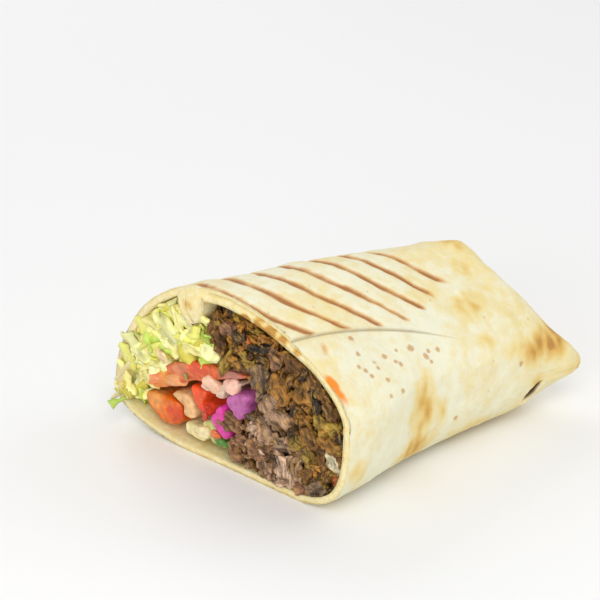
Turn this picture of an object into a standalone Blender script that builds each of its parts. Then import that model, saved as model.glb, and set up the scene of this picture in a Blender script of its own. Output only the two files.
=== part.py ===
"""Half of a pressed shawarma, cut across one end and folded shut at the other.

X runs along the roll from the cut to the folded end, -Y is the side packed with meat,
+Y the side packed with salad, +Z is up. The roll lies on z = 0. Metres.
"""
import math
import random

import bmesh
import bpy
import numpy as np
from mathutils import Matrix, Vector

# The roll is modelled in millimetres and scaled to metres when it is whole
MM = 1.0
METRES_IN_MM = 0.001
DEG = math.pi / 180

# The rolled flatbread
ROLL_LENGTH = 84.9 * MM
MEAT_HALF_WIDTH = 41.3 * MM
SALAD_HALF_WIDTH = 38.8 * MM
ROLL_HEIGHT = 51.3 * MM
END_HALF_WIDTH = 29.7 * MM
END_HEIGHT = 41.7 * MM
END_HUMP = 5.1 * MM
END_HUMP_SPREAD = 0.09
EAR_LENGTH = 12.2 * MM
EAR_HEIGHT = 13.7 * MM
EAR_POWER = 2.6
FOLD_ROUNDING = 1.0 * MM
FOLD_THICKNESS = 0.45
FOLD_DRAW = 0.985
WAIST = 2.9 * MM
TAPER_POWER = 1.2
CUT_BIAS = 13.2 * DEG
FLAT_DEPTH = 0.9 * MM
BREAD = 1.9 * MM

# Section of the roll: the heights of its widest points and how square it is
WIDEST_ON_MEAT_SIDE = 28.4 * MM
WIDEST_ON_SALAD_SIDE = 12.6 * MM
TOP_SQUARENESS = 1.81
TOP_SQUARENESS_AT_END = 1.2
CROWN_POWER = 1.6
CROWN_POWER_AT_END = 2.2
BOTTOM_POWER = 3.0
BOTTOM_SQUARENESS_MEAT = 4.43
BOTTOM_SQUARENESS_SALAD = 2.0
END_BLUNTNESS = 16

# The overlap of the bread on top: its outer edge is the seam, its inner edge hangs as a lip
SEAM_ANGLE = 122 * DEG
SEAM_SLOPE = 28 * DEG
SEAM_CURVE = 38 * DEG
SEAM_STEP = 1.0 * MM
SEAM_HALF_STEP = 0.35 * DEG
LIP_ANGLE = 74 * DEG
LIP_END_ANGLE = 79 * DEG
LIP_DROP = 6.6 * MM
LIP_LEAN = 1.6 * MM
LIP_BACK_LEAN = 0.2 * MM
SEAM_FADE = (0.25, 0.60)
LIP_FADE = (0.45, 0.80)

# How finely the bread is divided
BACK_ROWS = 13
TOP_ROWS = 8
FRONT_ROWS = 39
CAVITY_END = 0.84
OUTER_STATIONS = [0, 0.04, 0.10, 0.17, 0.25, 0.33, 0.41, 0.49, 0.57, 0.65, 0.73, 0.80,
                  0.86, 0.905, 0.94, 0.965, 0.983, 0.995]
INNER_STATIONS = [0, 0.06, 0.14, 0.23, 0.33, 0.43, 0.53, 0.63, 0.73, 0.80, CAVITY_END]
RIM_WAVE = 0.45 * MM

# The small open fold under the ear on the meat side
POCKET_PLACE = Vector((78.8, -30.6, 10.2)) * MM
POCKET_SIZE = Vector((4.2, 3.4, 1.7)) * MM
POCKET_LIFT = -38 * DEG
POCKET_TURN = 12 * DEG

# Inner borders of the fillings, seen square on at the cut: (across, up) in millimetres, with
# up taken from the rounded underside, before FLAT_DEPTH is cut off it. The rest of each
# border follows the bread between two angles.
MEAT_WALL = (83 * DEG, 264 * DEG)
MEAT_BORDER = [(-7.0, 3.6), (-3.3, 5.2), (-2.0, 8.0), (-3.3, 10.8), (-2.2, 13.6), (-2.0, 15.6),
               (-5.4, 15.6), (-8.7, 17.8), (-9.3, 21.4), (-10.3, 24.4), (-9.6, 27.6),
               (-9.4, 31.2), (-4.0, 31.8), (0.6, 31.6), (2.6, 34.0), (3.8, 36.6), (4.9, 38.2),
               (5.0, 42.5)]
LEAF_WALL = (-44 * DEG, 66 * DEG)
LEAF_BORDER = [(9.9, 45.0), (9.4, 39.5), (5.8, 37.8), (4.6, 36.2), (3.4, 33.4), (2.4, 31.4),
               (5.0, 30.9), (8.0, 30.3), (12.0, 29.0), (16.0, 27.3), (20.0, 25.3), (24.0, 22.8),
               (26.4, 19.4), (27.4, 16.9), (30.8, 14.4), (30.9, 12.0), (30.2, 9.8), (29.0, 8.4),
               (27.6, 7.4)]
DEEP_WALL = (-90 * DEG, 66 * DEG)
DEEP_BORDER = [(9.9, 45.0), (9.4, 39.5), (5.8, 37.8), (4.6, 36.2), (3.4, 33.4), (1.4, 30.6),
               (-3.8, 30.9), (-8.5, 30.4), (-8.7, 27.5), (-9.3, 24.5), (-8.3, 21.2),
               (-7.8, 18.4), (-5.0, 16.6), (-1.0, 16.6), (-1.2, 13.4), (-2.2, 10.9),
               (-0.9, 8.1), (-2.6, 4.4), (-5.9, 3.5)]
WALL_POINTS = 18
WALL_CLEARANCE = 0.75 * MM

TOMATO_SLAB_OUTLINE = [(22.8, 22.0), (13.2, 27.2), (7.3, 28.7), (2.0, 29.3), (-5.6, 30.4),
                       (-7.6, 29.9), (-4.6, 28.3), (1.7, 26.0), (4.2, 24.4), (11.6, 21.6),
                       (16.0, 19.2), (20.6, 16.4), (25.0, 15.0), (25.6, 17.0)]
TOMATO_WEDGE_OUTLINE = [(28.4, 12.4), (25.2, 13.2), (20.4, 13.4), (16.4, 12.4), (16.4, 7.0),
                        (20.9, 4.9), (24.2, 5.9), (28.2, 9.6)]
TOMATO_STRIP_OUTLINE = [(12.7, 20.0), (9.6, 20.8), (6.9, 19.6), (8.2, 15.9), (6.4, 13.6),
                        (7.3, 12.5), (10.0, 13.8), (12.3, 17.4)]
PICKLED_ONION_OUTLINE = [(-0.9, 21.4), (-2.6, 23.7), (-5.0, 24.9), (-7.8, 25.4), (-9.1, 24.2),
                         (-8.1, 21.5), (-7.6, 18.6), (-5.6, 16.9), (-3.6, 18.2), (-1.6, 19.6)]
PICKLED_SHRED_OUTLINE = [(1.0, 18.8), (0.1, 17.5), (-0.3, 15.6), (-1.0, 12.9), (-2.0, 11.2),
                         (-1.0, 9.1), (0.9, 9.4), (2.9, 11.4), (4.8, 13.4), (3.5, 16.1),
                         (2.0, 18.2)]
ONION_CHUNK_OUTLINE = [(8.6, 22.0), (6.6, 22.8), (4.7, 23.3), (4.6, 21.2), (6.0, 20.5),
                       (8.4, 21.5)]
ONION_SHARD_OUTLINE = [(3.6, 22.4), (1.5, 24.8), (-3.0, 26.8), (-5.2, 27.1), (-5.0, 26.1),
                       (-1.9, 24.7), (0.2, 22.2), (1.2, 20.2), (3.5, 19.8)]
ONION_SLICE_OUTLINE = [(19.6, 14.8), (18.8, 16.0), (16.6, 16.8), (14.2, 16.4), (12.6, 15.2),
                       (11.0, 12.6), (11.6, 10.4), (13.4, 9.3), (15.3, 9.8), (15.4, 12.4),
                       (16.6, 13.7)]
CABBAGE_OUTLINE = [(15.3, 5.3), (15.3, 8.2), (13.4, 7.9), (11.0, 8.6), (9.4, 7.2), (8.6, 4.8),
                   (9.6, 4.1), (13.0, 4.2)]
CUCUMBER_OUTLINE = [(9.4, 9.6), (8.4, 11.2), (6.4, 11.4), (4.4, 9.8), (2.2, 7.4), (0.2, 6.9),
                    (0.9, 5.4), (3.0, 4.7), (5.6, 4.6), (7.4, 6.2)]

SLAB_DEPTH = 14.6 * MM
PIECE_DEPTH = 14 * MM
MEAT_STATIONS = [0.030, 0.10, 0.18, 0.20, 0.30, 0.42, 0.54, 0.65, 0.76]
LEAF_STATIONS = [0.035, 0.10, 0.18]
DEEP_STATIONS = [0.20, 0.30, 0.42, 0.54, 0.65, 0.76]
PIECE_MARGIN = 0.4 * MM
PIECE_GROWTH = -0.25
PIECE_EDGE = 0.7 * MM
PIECE_EDGE_INSET = -0.55

MEAT_SEED = 7
LEAF_SEED = 11
MEAT_PIECE_SPACING = 5.6 * MM
MEAT_PIECE_SIZE = Vector((5.6, 2.3, 1.7)) * MM
LEAF_STRIP_SPACING = 5.6 * MM
LEAF_STRIP_SIZE = Vector((6.4, 2.2, 0.55)) * MM
TRIES = 8
MEAT_BOX = (-38 * MM, 5 * MM, 4 * MM, 46 * MM)
MEAT_AHEAD = (0.8 * MM, 3.0 * MM)
LEAF_BOX = (5 * MM, 36 * MM, 10 * MM, 45 * MM)
LEAF_AHEAD = (1.2 * MM, 3.4 * MM)

# The leaf edge and the shred that reach out of the cut on the salad side
ROOT_DEPTH = 5.0 * MM
LEAF_HALF_THICKNESS = 0.4 * MM
TORN_LEAF_ACROSS = 34.4 * MM
TORN_LEAF_FOOT = 9.5 * MM
TORN_LEAF_RISE = 15.5 * MM
TORN_LEAF_LEAN = 2.6 * MM
TORN_LEAF_WAVE = 0.7 * MM
TORN_LEAF_REACH = 9.5 * MM
SHRED_START = Vector((32.4, 9.5)) * MM
SHRED_DRIFT = 1.6 * MM
SHRED_DROP = 1.4 * MM
SHRED_REACH = 10.6 * MM
SHRED_HALF_WIDTH = 1.3 * MM

BREAD_COLOUR = (0.86, 0.74, 0.50)
MEAT_COLOUR = (0.20, 0.11, 0.06)
LETTUCE_COLOUR = (0.66, 0.70, 0.28)
TOMATO_COLOUR = (0.72, 0.16, 0.06)
PICKLED_COLOUR = (0.50, 0.07, 0.42)
ONION_COLOUR = (0.78, 0.64, 0.55)
CABBAGE_COLOUR = (0.80, 0.76, 0.52)
CUCUMBER_COLOUR = (0.18, 0.36, 0.10)


def signed_power(value, power):
    """Raise a value's size to a power and keep its sign."""
    return math.copysign(abs(value) ** power, value)


def fade(value, limits):
    """Fall smoothly from 1 to 0 between two limits."""
    share = min(1.0, max(0.0, (value - limits[0]) / (limits[1] - limits[0])))
    return 1 - share * share * (3 - 2 * share)


def mix(first, second, share):
    """Blend two values."""
    return first + (second - first) * share


def half_width(t, side):
    """Half width of the roll at a share t of its length, on the meat or the salad side."""
    start = SALAD_HALF_WIDTH if side > 0 else MEAT_HALF_WIDTH
    width = mix(start, END_HALF_WIDTH, max(t, 0) ** TAPER_POWER)
    if side < 0:
        width -= WAIST * math.sin(math.pi * min(max(t, 0) / 0.9, 1)) ** 2
    return width


def height(t):
    """Height of the roll at a share t of its length."""
    hump = END_HUMP * math.exp(-((t - 0.95) / END_HUMP_SPREAD) ** 2)
    return mix(ROLL_HEIGHT, END_HEIGHT, max(t, 0) ** TAPER_POWER) + hump


def length_at(t, across):
    """Place along the roll of a point of the slanted section t."""
    return ROLL_LENGTH * t - (1 - t) * across * math.tan(CUT_BIAS)


def section_point(t, angle):
    """Across, up and along of the bread's outside at a section and an angle round it."""
    cosine = math.cos(angle)
    sine = math.sin(angle)
    late = max(t, 0) ** 3
    last = max(t, 0) ** 12
    if sine >= 0:
        squareness = mix(TOP_SQUARENESS, TOP_SQUARENESS_AT_END, late)
    else:
        squareness = BOTTOM_SQUARENESS_SALAD if cosine >= 0 else BOTTOM_SQUARENESS_MEAT
        squareness = mix(squareness, TOP_SQUARENESS_AT_END, last)
    share = signed_power(cosine, 2 / squareness)
    across = half_width(t, cosine) * share
    widest = mix(WIDEST_ON_MEAT_SIDE, WIDEST_ON_SALAD_SIDE, (share + 1) / 2)
    widest = mix(widest, EAR_HEIGHT, max(t, 0) ** 4)
    closing = math.sqrt(max(0.0, 1 - max(t, 0) ** END_BLUNTNESS))
    if sine >= 0:
        crown = mix(CROWN_POWER, CROWN_POWER_AT_END, late)
        up = widest + (height(t) - widest) * sine ** (2 / crown) * closing
    else:
        up = widest - widest * (-sine) ** (2 / BOTTOM_POWER) * closing
    up = max(up - FLAT_DEPTH, 0.0)
    ear = EAR_LENGTH * abs(share) ** EAR_POWER * max(t, 0) ** 8
    return across, up, length_at(t, across) + ear


def seam_angle(t):
    """Angle of the seam, which drifts down the meat side away from the cut."""
    return SEAM_ANGLE + SEAM_SLOPE * t + SEAM_CURVE * t * t


def row_angles(t):
    """Angles round the section: salad side, lip, double top, seam, meat side and bottom."""
    seam = seam_angle(t)
    back = np.linspace(0, LIP_ANGLE - 3 * DEG, BACK_ROWS)
    lip = np.linspace(LIP_ANGLE, LIP_END_ANGLE, 4)
    top = np.linspace(LIP_END_ANGLE + 4 * DEG, seam - 4 * DEG, TOP_ROWS)
    step = np.array([seam - SEAM_HALF_STEP, seam + SEAM_HALF_STEP])
    front = np.linspace(seam + 4 * DEG, 2 * math.pi - 5 * DEG, FRONT_ROWS)
    return np.concatenate([back, lip, top, step, front])


LIP_ROWS = [BACK_ROWS + row for row in range(4)]
SEAM_ROW = BACK_ROWS + 4 + TOP_ROWS


def outward(t, angle):
    """Direction away from the bread in the plane of a section."""
    before = section_point(t, angle - 1.5 * DEG)
    after = section_point(t, angle + 1.5 * DEG)
    along = Vector((after[0] - before[0], after[1] - before[1])).normalized()
    return Vector((along.y, -along.x))


def seam_rise(t, angle):
    """Height of the overlapping edge over the bread under it."""
    share = (angle - LIP_END_ANGLE) / (seam_angle(t) - LIP_END_ANGLE)
    inside = 0 < share < 1
    return SEAM_STEP * share ** 0.5 * fade(t, SEAM_FADE) if inside else 0.0


def bread_depth(t, angle):
    """Thickness of the bread inwards from its even outside: two layers in the overlap."""
    past_seam = (angle - seam_angle(t)) / (14 * DEG)
    if angle < LIP_END_ANGLE - 0.001:
        return BREAD
    if past_seam > 0:
        rise = SEAM_STEP * fade(t, SEAM_FADE)
        return BREAD + (BREAD - rise) * max(0.0, 1 - past_seam)
    return 2 * BREAD - seam_rise(t, angle)


def outer_ring(t):
    """Points of the bread's outside at a section."""
    points = []
    for angle in row_angles(t):
        across, up, along = section_point(t, angle)
        push = outward(t, angle) * seam_rise(t, angle)
        wave = RIM_WAVE * math.sin(3 * angle + 1) * fade(t, (0.0, 0.1))
        points.append(Vector((along + wave, across + push.x, up + push.y)))
    return points


def inner_ring(t):
    """Points of the bread's inside at a section, with the hanging lip."""
    angles = row_angles(t)
    hang = fade(t, LIP_FADE)
    points = []
    for row, angle in enumerate(angles):
        across, up, _ = section_point(t, angle)
        inwards = outward(t, angle) * -bread_depth(t, angle)
        across += inwards.x
        up += inwards.y
        if row in LIP_ROWS[1:3]:
            front = row == LIP_ROWS[1]
            root, root_up, _ = section_point(t, angles[LIP_ROWS[0] if front else LIP_ROWS[3]])
            lean = LIP_LEAN if front else LIP_BACK_LEAN
            across = mix(across, root - lean, hang)
            up = mix(up, root_up - BREAD - LIP_DROP, hang)
        wave = RIM_WAVE * math.sin(3 * angle + 1) * fade(t, (0.0, 0.1))
        points.append(Vector((length_at(t, across) + wave, across, up)))
    return points


def shrunk(points, share, move):
    """Points drawn towards their middle and moved along the roll."""
    middle = sum(points, Vector()) / len(points)
    return [middle + (point - middle) * share + Vector((move, 0, 0)) for point in points]


def add_ring(mesh, points):
    """Add one closed ring of vertices."""
    return [mesh.verts.new(point) for point in points]


def join_rings(mesh, first, second):
    """Bridge two rings of the same length with quads."""
    count = len(first)
    for row in range(count):
        after = (row + 1) % count
        mesh.faces.new((first[row], first[after], second[after], second[row]))


def close_ring(mesh, ring):
    """Close a ring with a fan round its middle."""
    middle = mesh.verts.new(sum((vertex.co for vertex in ring), Vector()) / len(ring))
    for row, vertex in enumerate(ring):
        mesh.faces.new((vertex, ring[(row + 1) % len(ring)], middle))


def new_object(name, mesh, material=None):
    """Turn a closed bmesh into an object with its faces pointing out."""
    mesh.normal_update()
    bmesh.ops.triangulate(mesh, faces=mesh.faces[:])
    bmesh.ops.recalc_face_normals(mesh, faces=mesh.faces[:])
    data = bpy.data.meshes.new(name)
    mesh.to_mesh(data)
    mesh.free()
    if material:
        data.materials.append(material)
    result = bpy.data.objects.new(name, data)
    bpy.context.scene.collection.objects.link(result)
    return result


def new_material(name, colour, roughness):
    """Principled material of a food."""
    material = bpy.data.materials.new(name)
    material.use_nodes = True
    shader = material.node_tree.nodes["Principled BSDF"]
    shader.inputs["Base Color"].default_value = (*colour, 1)
    shader.inputs["Roughness"].default_value = roughness
    shader.inputs["Metallic"].default_value = 0
    return material


def make_cutter(shape):
    """Hide a shape that only cuts or joins others."""
    shape.hide_render = True
    shape.display_type = 'WIRE'
    return shape


def combine(shape, operation, other=None, group=None, solver='MANIFOLD'):
    """Apply one Boolean with another object or with a collection of objects."""
    modifier = shape.modifiers.new("combine", 'BOOLEAN')
    modifier.operation = operation
    modifier.solver = solver
    if group:
        modifier.operand_type = 'COLLECTION'
        modifier.collection = group
    else:
        modifier.object = other
    bpy.context.view_layer.update()
    graph = bpy.context.evaluated_depsgraph_get()
    data = bpy.data.meshes.new_from_object(shape.evaluated_get(graph))
    old = shape.data
    shape.modifiers.clear()
    shape.data = data
    data.name = shape.name
    bpy.data.meshes.remove(old)


def remove_shapes(shapes):
    """Delete helper objects once they have done their work."""
    for shape in shapes:
        data = shape.data
        bpy.data.objects.remove(shape)
        bpy.data.meshes.remove(data)


def build_wrap(material):
    """The folded and rolled bread: one solid with the cavity open at the cut."""
    mesh = bmesh.new()
    outer = [add_ring(mesh, outer_ring(t)) for t in OUTER_STATIONS]
    inner = [add_ring(mesh, inner_ring(t)) for t in INNER_STATIONS]
    for rings in (outer, inner):
        for first, second in zip(rings, rings[1:]):
            join_rings(mesh, first, second)
    join_rings(mesh, outer[0], inner[0])
    deepest = [vertex.co.copy() for vertex in inner[-1]]
    dome = add_ring(mesh, shrunk(deepest, 0.7, 2.4 * MM))
    join_rings(mesh, inner[-1], dome)
    close_ring(mesh, dome)
    close_fold(mesh, outer[-1])
    wrap = new_object("wrap", mesh, material)
    carve_pocket(wrap)
    wrap.data.shade_smooth()
    wrap.data.set_sharp_from_angle(angle=50 * DEG)
    return wrap


def close_fold(mesh, ring):
    """Bring the last ring's upper and lower halves together on the edge of the fold."""
    lips = []
    for vertex in ring:
        share = min(1.0, max(-1.0, vertex.co.y / half_width(1, vertex.co.y)))
        reach = ROLL_LENGTH + FOLD_ROUNDING + EAR_LENGTH * abs(share) ** EAR_POWER
        up = mix(EAR_HEIGHT - FLAT_DEPTH, vertex.co.z, FOLD_THICKNESS)
        lips.append(mesh.verts.new((reach, vertex.co.y * FOLD_DRAW, up)))
    join_rings(mesh, ring, lips)
    mesh.faces.new(lips)


def carve_pocket(wrap):
    """Open the small fold under the ear."""
    mesh = bmesh.new()
    place = Matrix.Translation(POCKET_PLACE)
    turn = Matrix.Rotation(POCKET_TURN, 4, 'Z') @ Matrix.Rotation(POCKET_LIFT, 4, 'Y')
    size = Matrix.Diagonal((*POCKET_SIZE, 1))
    bmesh.ops.create_uvsphere(mesh, u_segments=12, v_segments=8, radius=1,
                              matrix=place @ turn @ size)
    cutter = make_cutter(new_object("pocket_cutter", mesh))
    combine(wrap, 'DIFFERENCE', cutter, solver='EXACT')
    remove_shapes([cutter])


def to_roll(across, up, t, ahead=0.0):
    """Carry a point of the cut's section along the roll, narrowing as the roll narrows."""
    side = 1 if across >= 0 else -1
    wide = across * half_width(t, side) / half_width(0, side)
    high = (up - FLAT_DEPTH) * (height(t) - FLAT_DEPTH) / (ROLL_HEIGHT - FLAT_DEPTH)
    return Vector((length_at(t, wide) + ahead, wide, high))


def wall_point(t, angle):
    """A point just inside the bread at any angle, away from the lip."""
    across, up, _ = section_point(t, angle)
    inwards = outward(t, angle) * -(bread_depth(t, angle % (2 * math.pi)) + WALL_CLEARANCE)
    return across + inwards.x, up + inwards.y


def filling_ring(t, wall, border):
    """Ring of a filling: along the bread between two angles and back along its border."""
    points = []
    for angle in np.linspace(*wall, WALL_POINTS):
        across, up = wall_point(t, angle)
        points.append(Vector((length_at(t, across), across, up)))
    points += [to_roll(y * MM, z * MM, t) for y, z in border]
    return points


def loft(name, rings):
    """Closed solid through rings of the same length."""
    mesh = bmesh.new()
    added = [add_ring(mesh, ring) for ring in rings]
    for first, second in zip(added, added[1:]):
        join_rings(mesh, first, second)
    mesh.faces.new(added[0])
    mesh.faces.new(added[-1])
    return new_object(name, mesh)


def inset(outline, distance):
    """Draw an outline in by moving each corner along its two sides' normals."""
    points = [Vector(point) for point in outline]
    turn = sum(a.cross(b) for a, b in zip(points, points[1:] + points[:1]))
    sign = 1 if turn > 0 else -1
    result = []
    for before, point, after in zip(points[-1:] + points[:-1], points, points[1:] + points[:1]):
        first = (point - before).normalized()
        second = (after - point).normalized()
        normal = Vector((-first.y - second.y, first.x + second.x)).normalized() * sign
        result.append(tuple(point + normal * distance))
    return result


def inside(outline, across, up):
    """Whether a point lies inside an outline."""
    result = False
    for (y0, z0), (y1, z1) in zip(outline, outline[1:] + outline[:1]):
        crosses = (z0 > up) != (z1 > up)
        if crosses and across < y0 + (up - z0) * (y1 - y0) / (z1 - z0):
            result = not result
    return result


def build_piece(size, sides, segments, bend, rng):
    """A torn piece of few sides: a tapered, bent and uneven bar along X."""
    mesh = bmesh.new()
    rings = []
    for segment in range(segments + 1):
        share = 2 * segment / segments - 1
        girth = (1 - 0.55 * share * share) * rng.uniform(0.85, 1.15)
        ring = []
        for side in range(sides):
            angle = 2 * math.pi * (side + 0.5) / sides
            reach = rng.uniform(0.85, 1.1)
            ring.append(Vector((size.x * share,
                                size.y * girth * reach * math.cos(angle),
                                size.z * girth * reach * math.sin(angle)
                                + bend * (share * share - 0.5))))
        rings.append(add_ring(mesh, ring))
    for first, second in zip(rings, rings[1:]):
        join_rings(mesh, first, second)
    mesh.faces.new(rings[0])
    mesh.faces.new(rings[-1])
    return new_object("piece", mesh)


def build_strip(size, waves, rng, segments=6):
    """A shred of leaf: a thin wavy strip along X, both faces split alike."""
    mesh = bmesh.new()
    rings = []
    phase = rng.uniform(0, 6)
    for segment in range(segments + 1):
        share = 2 * segment / segments - 1
        wave = size.y * 0.5 * math.sin(waves * share + phase)
        wide = size.y * (1 - 0.35 * share * share) * rng.uniform(0.8, 1.2)
        ring = []
        for y, z in ((-wide, -size.z), (wide, -size.z), (wide, size.z), (-wide, size.z)):
            ring.append(Vector((size.x * share, y, z + wave + 0.15 * y)))
        rings.append(add_ring(mesh, ring))
    for first, second in zip(rings, rings[1:]):
        join_rings(mesh, first, second)
    mesh.faces.new(rings[0])
    mesh.faces.new(rings[-1])
    return new_object("strip", mesh)


def put(shape, place, turns):
    """Place a small shape by turning it about X, Y and Z and moving it."""
    matrix = Matrix.Translation(place)
    for axis, turn in zip("XYZ", turns):
        matrix = matrix @ Matrix.Rotation(turn, 4, axis)
    shape.data.transform(matrix)


def fuse(core, pieces, name):
    """Join pieces to a core with one Boolean and remove them."""
    group = bpy.data.collections.new(name + "_pieces")
    bpy.context.scene.collection.children.link(group)
    for piece in pieces:
        bpy.context.scene.collection.objects.unlink(piece)
        group.objects.link(piece)
    combine(core, 'UNION', group=group)
    remove_shapes(pieces)
    bpy.data.collections.remove(group)


def grid_places(spacing, box, rng):
    """Uneven grid of places over a box of the cut, across and up."""
    low_y, high_y, low_z, high_z = box
    rows = int((high_z - low_z) / spacing) + 1
    columns = int((high_y - low_y) / spacing) + 1
    for row in range(rows):
        for column in range(columns):
            across = low_y + spacing * (column + 0.5 * (row % 2)) + rng.uniform(-1, 1) * MM
            yield across, low_z + spacing * row + rng.uniform(-1, 1) * MM


def fits(shape, outline):
    """Whether all of a small shape lies within an outline of the cut."""
    corners = [vertex.co for vertex in shape.data.vertices]
    spots = [corners[a].lerp(corners[b], part / 4) for a, b in shape.data.edge_keys
             for part in range(5)]
    return all(inside(outline, spot.y, spot.z) for spot in spots)


def scatter(make, outline, spacing, box, ahead, turns, rng):
    """Lay small shapes over the cut inside an outline, drawing again where one crosses it."""
    shapes = []
    for across, up in grid_places(spacing, box, rng):
        for attempt in range(TRIES):
            shape = make(1 - 0.6 * attempt / TRIES, rng)
            turn = (rng.uniform(0, math.pi), rng.uniform(*turns), rng.uniform(-0.5, 0.5))
            put(shape, to_roll(across, up, 0, rng.uniform(*ahead)), turn)
            if fits(shape, outline):
                shapes.append(shape)
                break
            remove_shapes([shape])
    return shapes


def meat_piece(scale, rng):
    """One torn piece of meat."""
    size = MEAT_PIECE_SIZE * rng.uniform(0.8, 1.25) * scale
    return build_piece(size, 5, 3, rng.uniform(-1.2, 1.2) * MM, rng)


def leaf_piece(scale, rng):
    """One shred of leaf."""
    return build_strip(LEAF_STRIP_SIZE * rng.uniform(0.8, 1.2) * scale, rng.uniform(1.5, 3.5), rng)


def finish_heap(core, name, material):
    """Name a heap and give it its material."""
    drop_scraps(core)
    core.name = name
    core.data.name = name
    core.data.materials.clear()
    core.data.materials.append(material)
    return core


def drop_scraps(shape):
    """Keep only the largest joined body of a mesh."""
    mesh = bmesh.new()
    mesh.from_mesh(shape.data)
    unseen = set(mesh.verts)
    bodies = []
    while unseen:
        queue = [unseen.pop()]
        body = set(queue)
        while queue:
            for edge in queue.pop().link_edges:
                for vertex in edge.verts:
                    if vertex in unseen:
                        unseen.discard(vertex)
                        body.add(vertex)
                        queue.append(vertex)
        bodies.append(body)
    largest = max(bodies, key=len)
    extra = [vertex for body in bodies if body is not largest for vertex in body]
    bmesh.ops.delete(mesh, geom=extra, context='VERTS')
    mesh.to_mesh(shape.data)
    mesh.free()


def flat_outline(ring):
    """Across and up of a ring of points, drawn in by the margin that pieces keep."""
    return inset([(point.y, point.z) for point in ring], PIECE_MARGIN)


def build_meat(material):
    """Shaved meat on the near side: a core with torn pieces that show at the cut."""
    rng = random.Random(MEAT_SEED)
    core = loft("meat", [filling_ring(t, MEAT_WALL, MEAT_BORDER) for t in MEAT_STATIONS])
    outline = flat_outline(filling_ring(0, MEAT_WALL, MEAT_BORDER))
    pieces = scatter(meat_piece, outline, MEAT_PIECE_SPACING, MEAT_BOX, MEAT_AHEAD,
                     (0.7, 1.9), rng)
    fuse(core, pieces, "meat")
    return finish_heap(core, "meat", material)


def build_lettuce(material):
    """Shredded leaf over and behind the salad: a core with strips at the cut."""
    rng = random.Random(LEAF_SEED)
    rings = [filling_ring(t, LEAF_WALL, LEAF_BORDER) for t in LEAF_STATIONS]
    rings += [filling_ring(t, DEEP_WALL, DEEP_BORDER) for t in DEEP_STATIONS]
    core = loft("lettuce", rings)
    outline = flat_outline(filling_ring(0, LEAF_WALL, LEAF_BORDER))
    pieces = scatter(leaf_piece, outline, LEAF_STRIP_SPACING, LEAF_BOX, LEAF_AHEAD,
                     (0.9, 1.9), rng)
    pieces.append(torn_leaf())
    pieces.append(hanging_shred())
    fuse(core, pieces, "lettuce")
    return finish_heap(core, "lettuce", material)


def torn_leaf():
    """The torn edge of a leaf that reaches out of the cut on the salad side."""
    mesh = bmesh.new()
    rows = 7
    columns = 5
    sheets = []
    for side in (-1, 1):
        grid = []
        for row in range(rows):
            rise = row / (rows - 1)
            ragged = 1 - 0.30 * rise - 0.12 * math.sin(9 * rise)
            up = TORN_LEAF_FOOT + TORN_LEAF_RISE * rise
            line = []
            for column in range(columns):
                out = column / (columns - 1)
                wave = TORN_LEAF_WAVE * math.sin(4 * rise + 2 * out)
                across = TORN_LEAF_ACROSS + wave - TORN_LEAF_LEAN * rise + LEAF_HALF_THICKNESS * side
                ahead = ROOT_DEPTH - TORN_LEAF_REACH * out * ragged
                line.append(mesh.verts.new(to_roll(across, up, 0, ahead)))
            grid.append(line)
        sheets.append(grid)
    for grid in sheets:
        for row in range(rows - 1):
            for column in range(columns - 1):
                mesh.faces.new((grid[row][column], grid[row][column + 1],
                                grid[row + 1][column + 1], grid[row + 1][column]))
    border = [(0, column) for column in range(columns)]
    border += [(row, columns - 1) for row in range(1, rows)]
    border += [(rows - 1, column) for column in range(columns - 2, -1, -1)]
    border += [(row, 0) for row in range(rows - 2, 0, -1)]
    back, front = sheets
    for (row, column), (next_row, next_column) in zip(border, border[1:] + border[:1]):
        mesh.faces.new((back[row][column], back[next_row][next_column],
                        front[next_row][next_column], front[row][column]))
    return new_object("torn_leaf", mesh)


def hanging_shred():
    """A green shred that hangs out of the cut over the bread's edge."""
    mesh = bmesh.new()
    rings = []
    steps = 6
    for step in range(steps + 1):
        share = step / steps
        across = SHRED_START.x + SHRED_DRIFT * share
        up = SHRED_START.y + 0.5 * SHRED_DROP * math.sin(3 * share) - SHRED_DROP * share
        ahead = ROOT_DEPTH - SHRED_REACH * share
        wide = SHRED_HALF_WIDTH * (1 + 0.6 * math.sin(7 * share))
        ring = []
        for y, z in ((-wide, -1), (wide, -1), (wide, 1), (-wide, 1)):
            tilted = up + z * LEAF_HALF_THICKNESS + 0.5 * y
            ring.append(to_roll(across + 0.6 * y, tilted, 0, ahead))
        rings.append(add_ring(mesh, ring))
    for first, second in zip(rings, rings[1:]):
        join_rings(mesh, first, second)
    mesh.faces.new(rings[0])
    mesh.faces.new(rings[-1])
    return new_object("hanging_shred", mesh)


def smooth_outline(outline, steps=3):
    """Round an outline by a curve through its points."""
    points = [Vector(point) for point in outline]
    count = len(points)
    result = []
    for number in range(count):
        p0, p1, p2, p3 = (points[(number + step - 1) % count] for step in range(4))
        for step in range(steps):
            s = step / steps
            result.append(0.5 * ((2 * p1) + (p2 - p0) * s + (2 * p0 - 5 * p1 + 4 * p2 - p3) * s * s
                                 + (3 * p1 - p0 - 3 * p2 + p3) * s ** 3))
    return result


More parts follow.
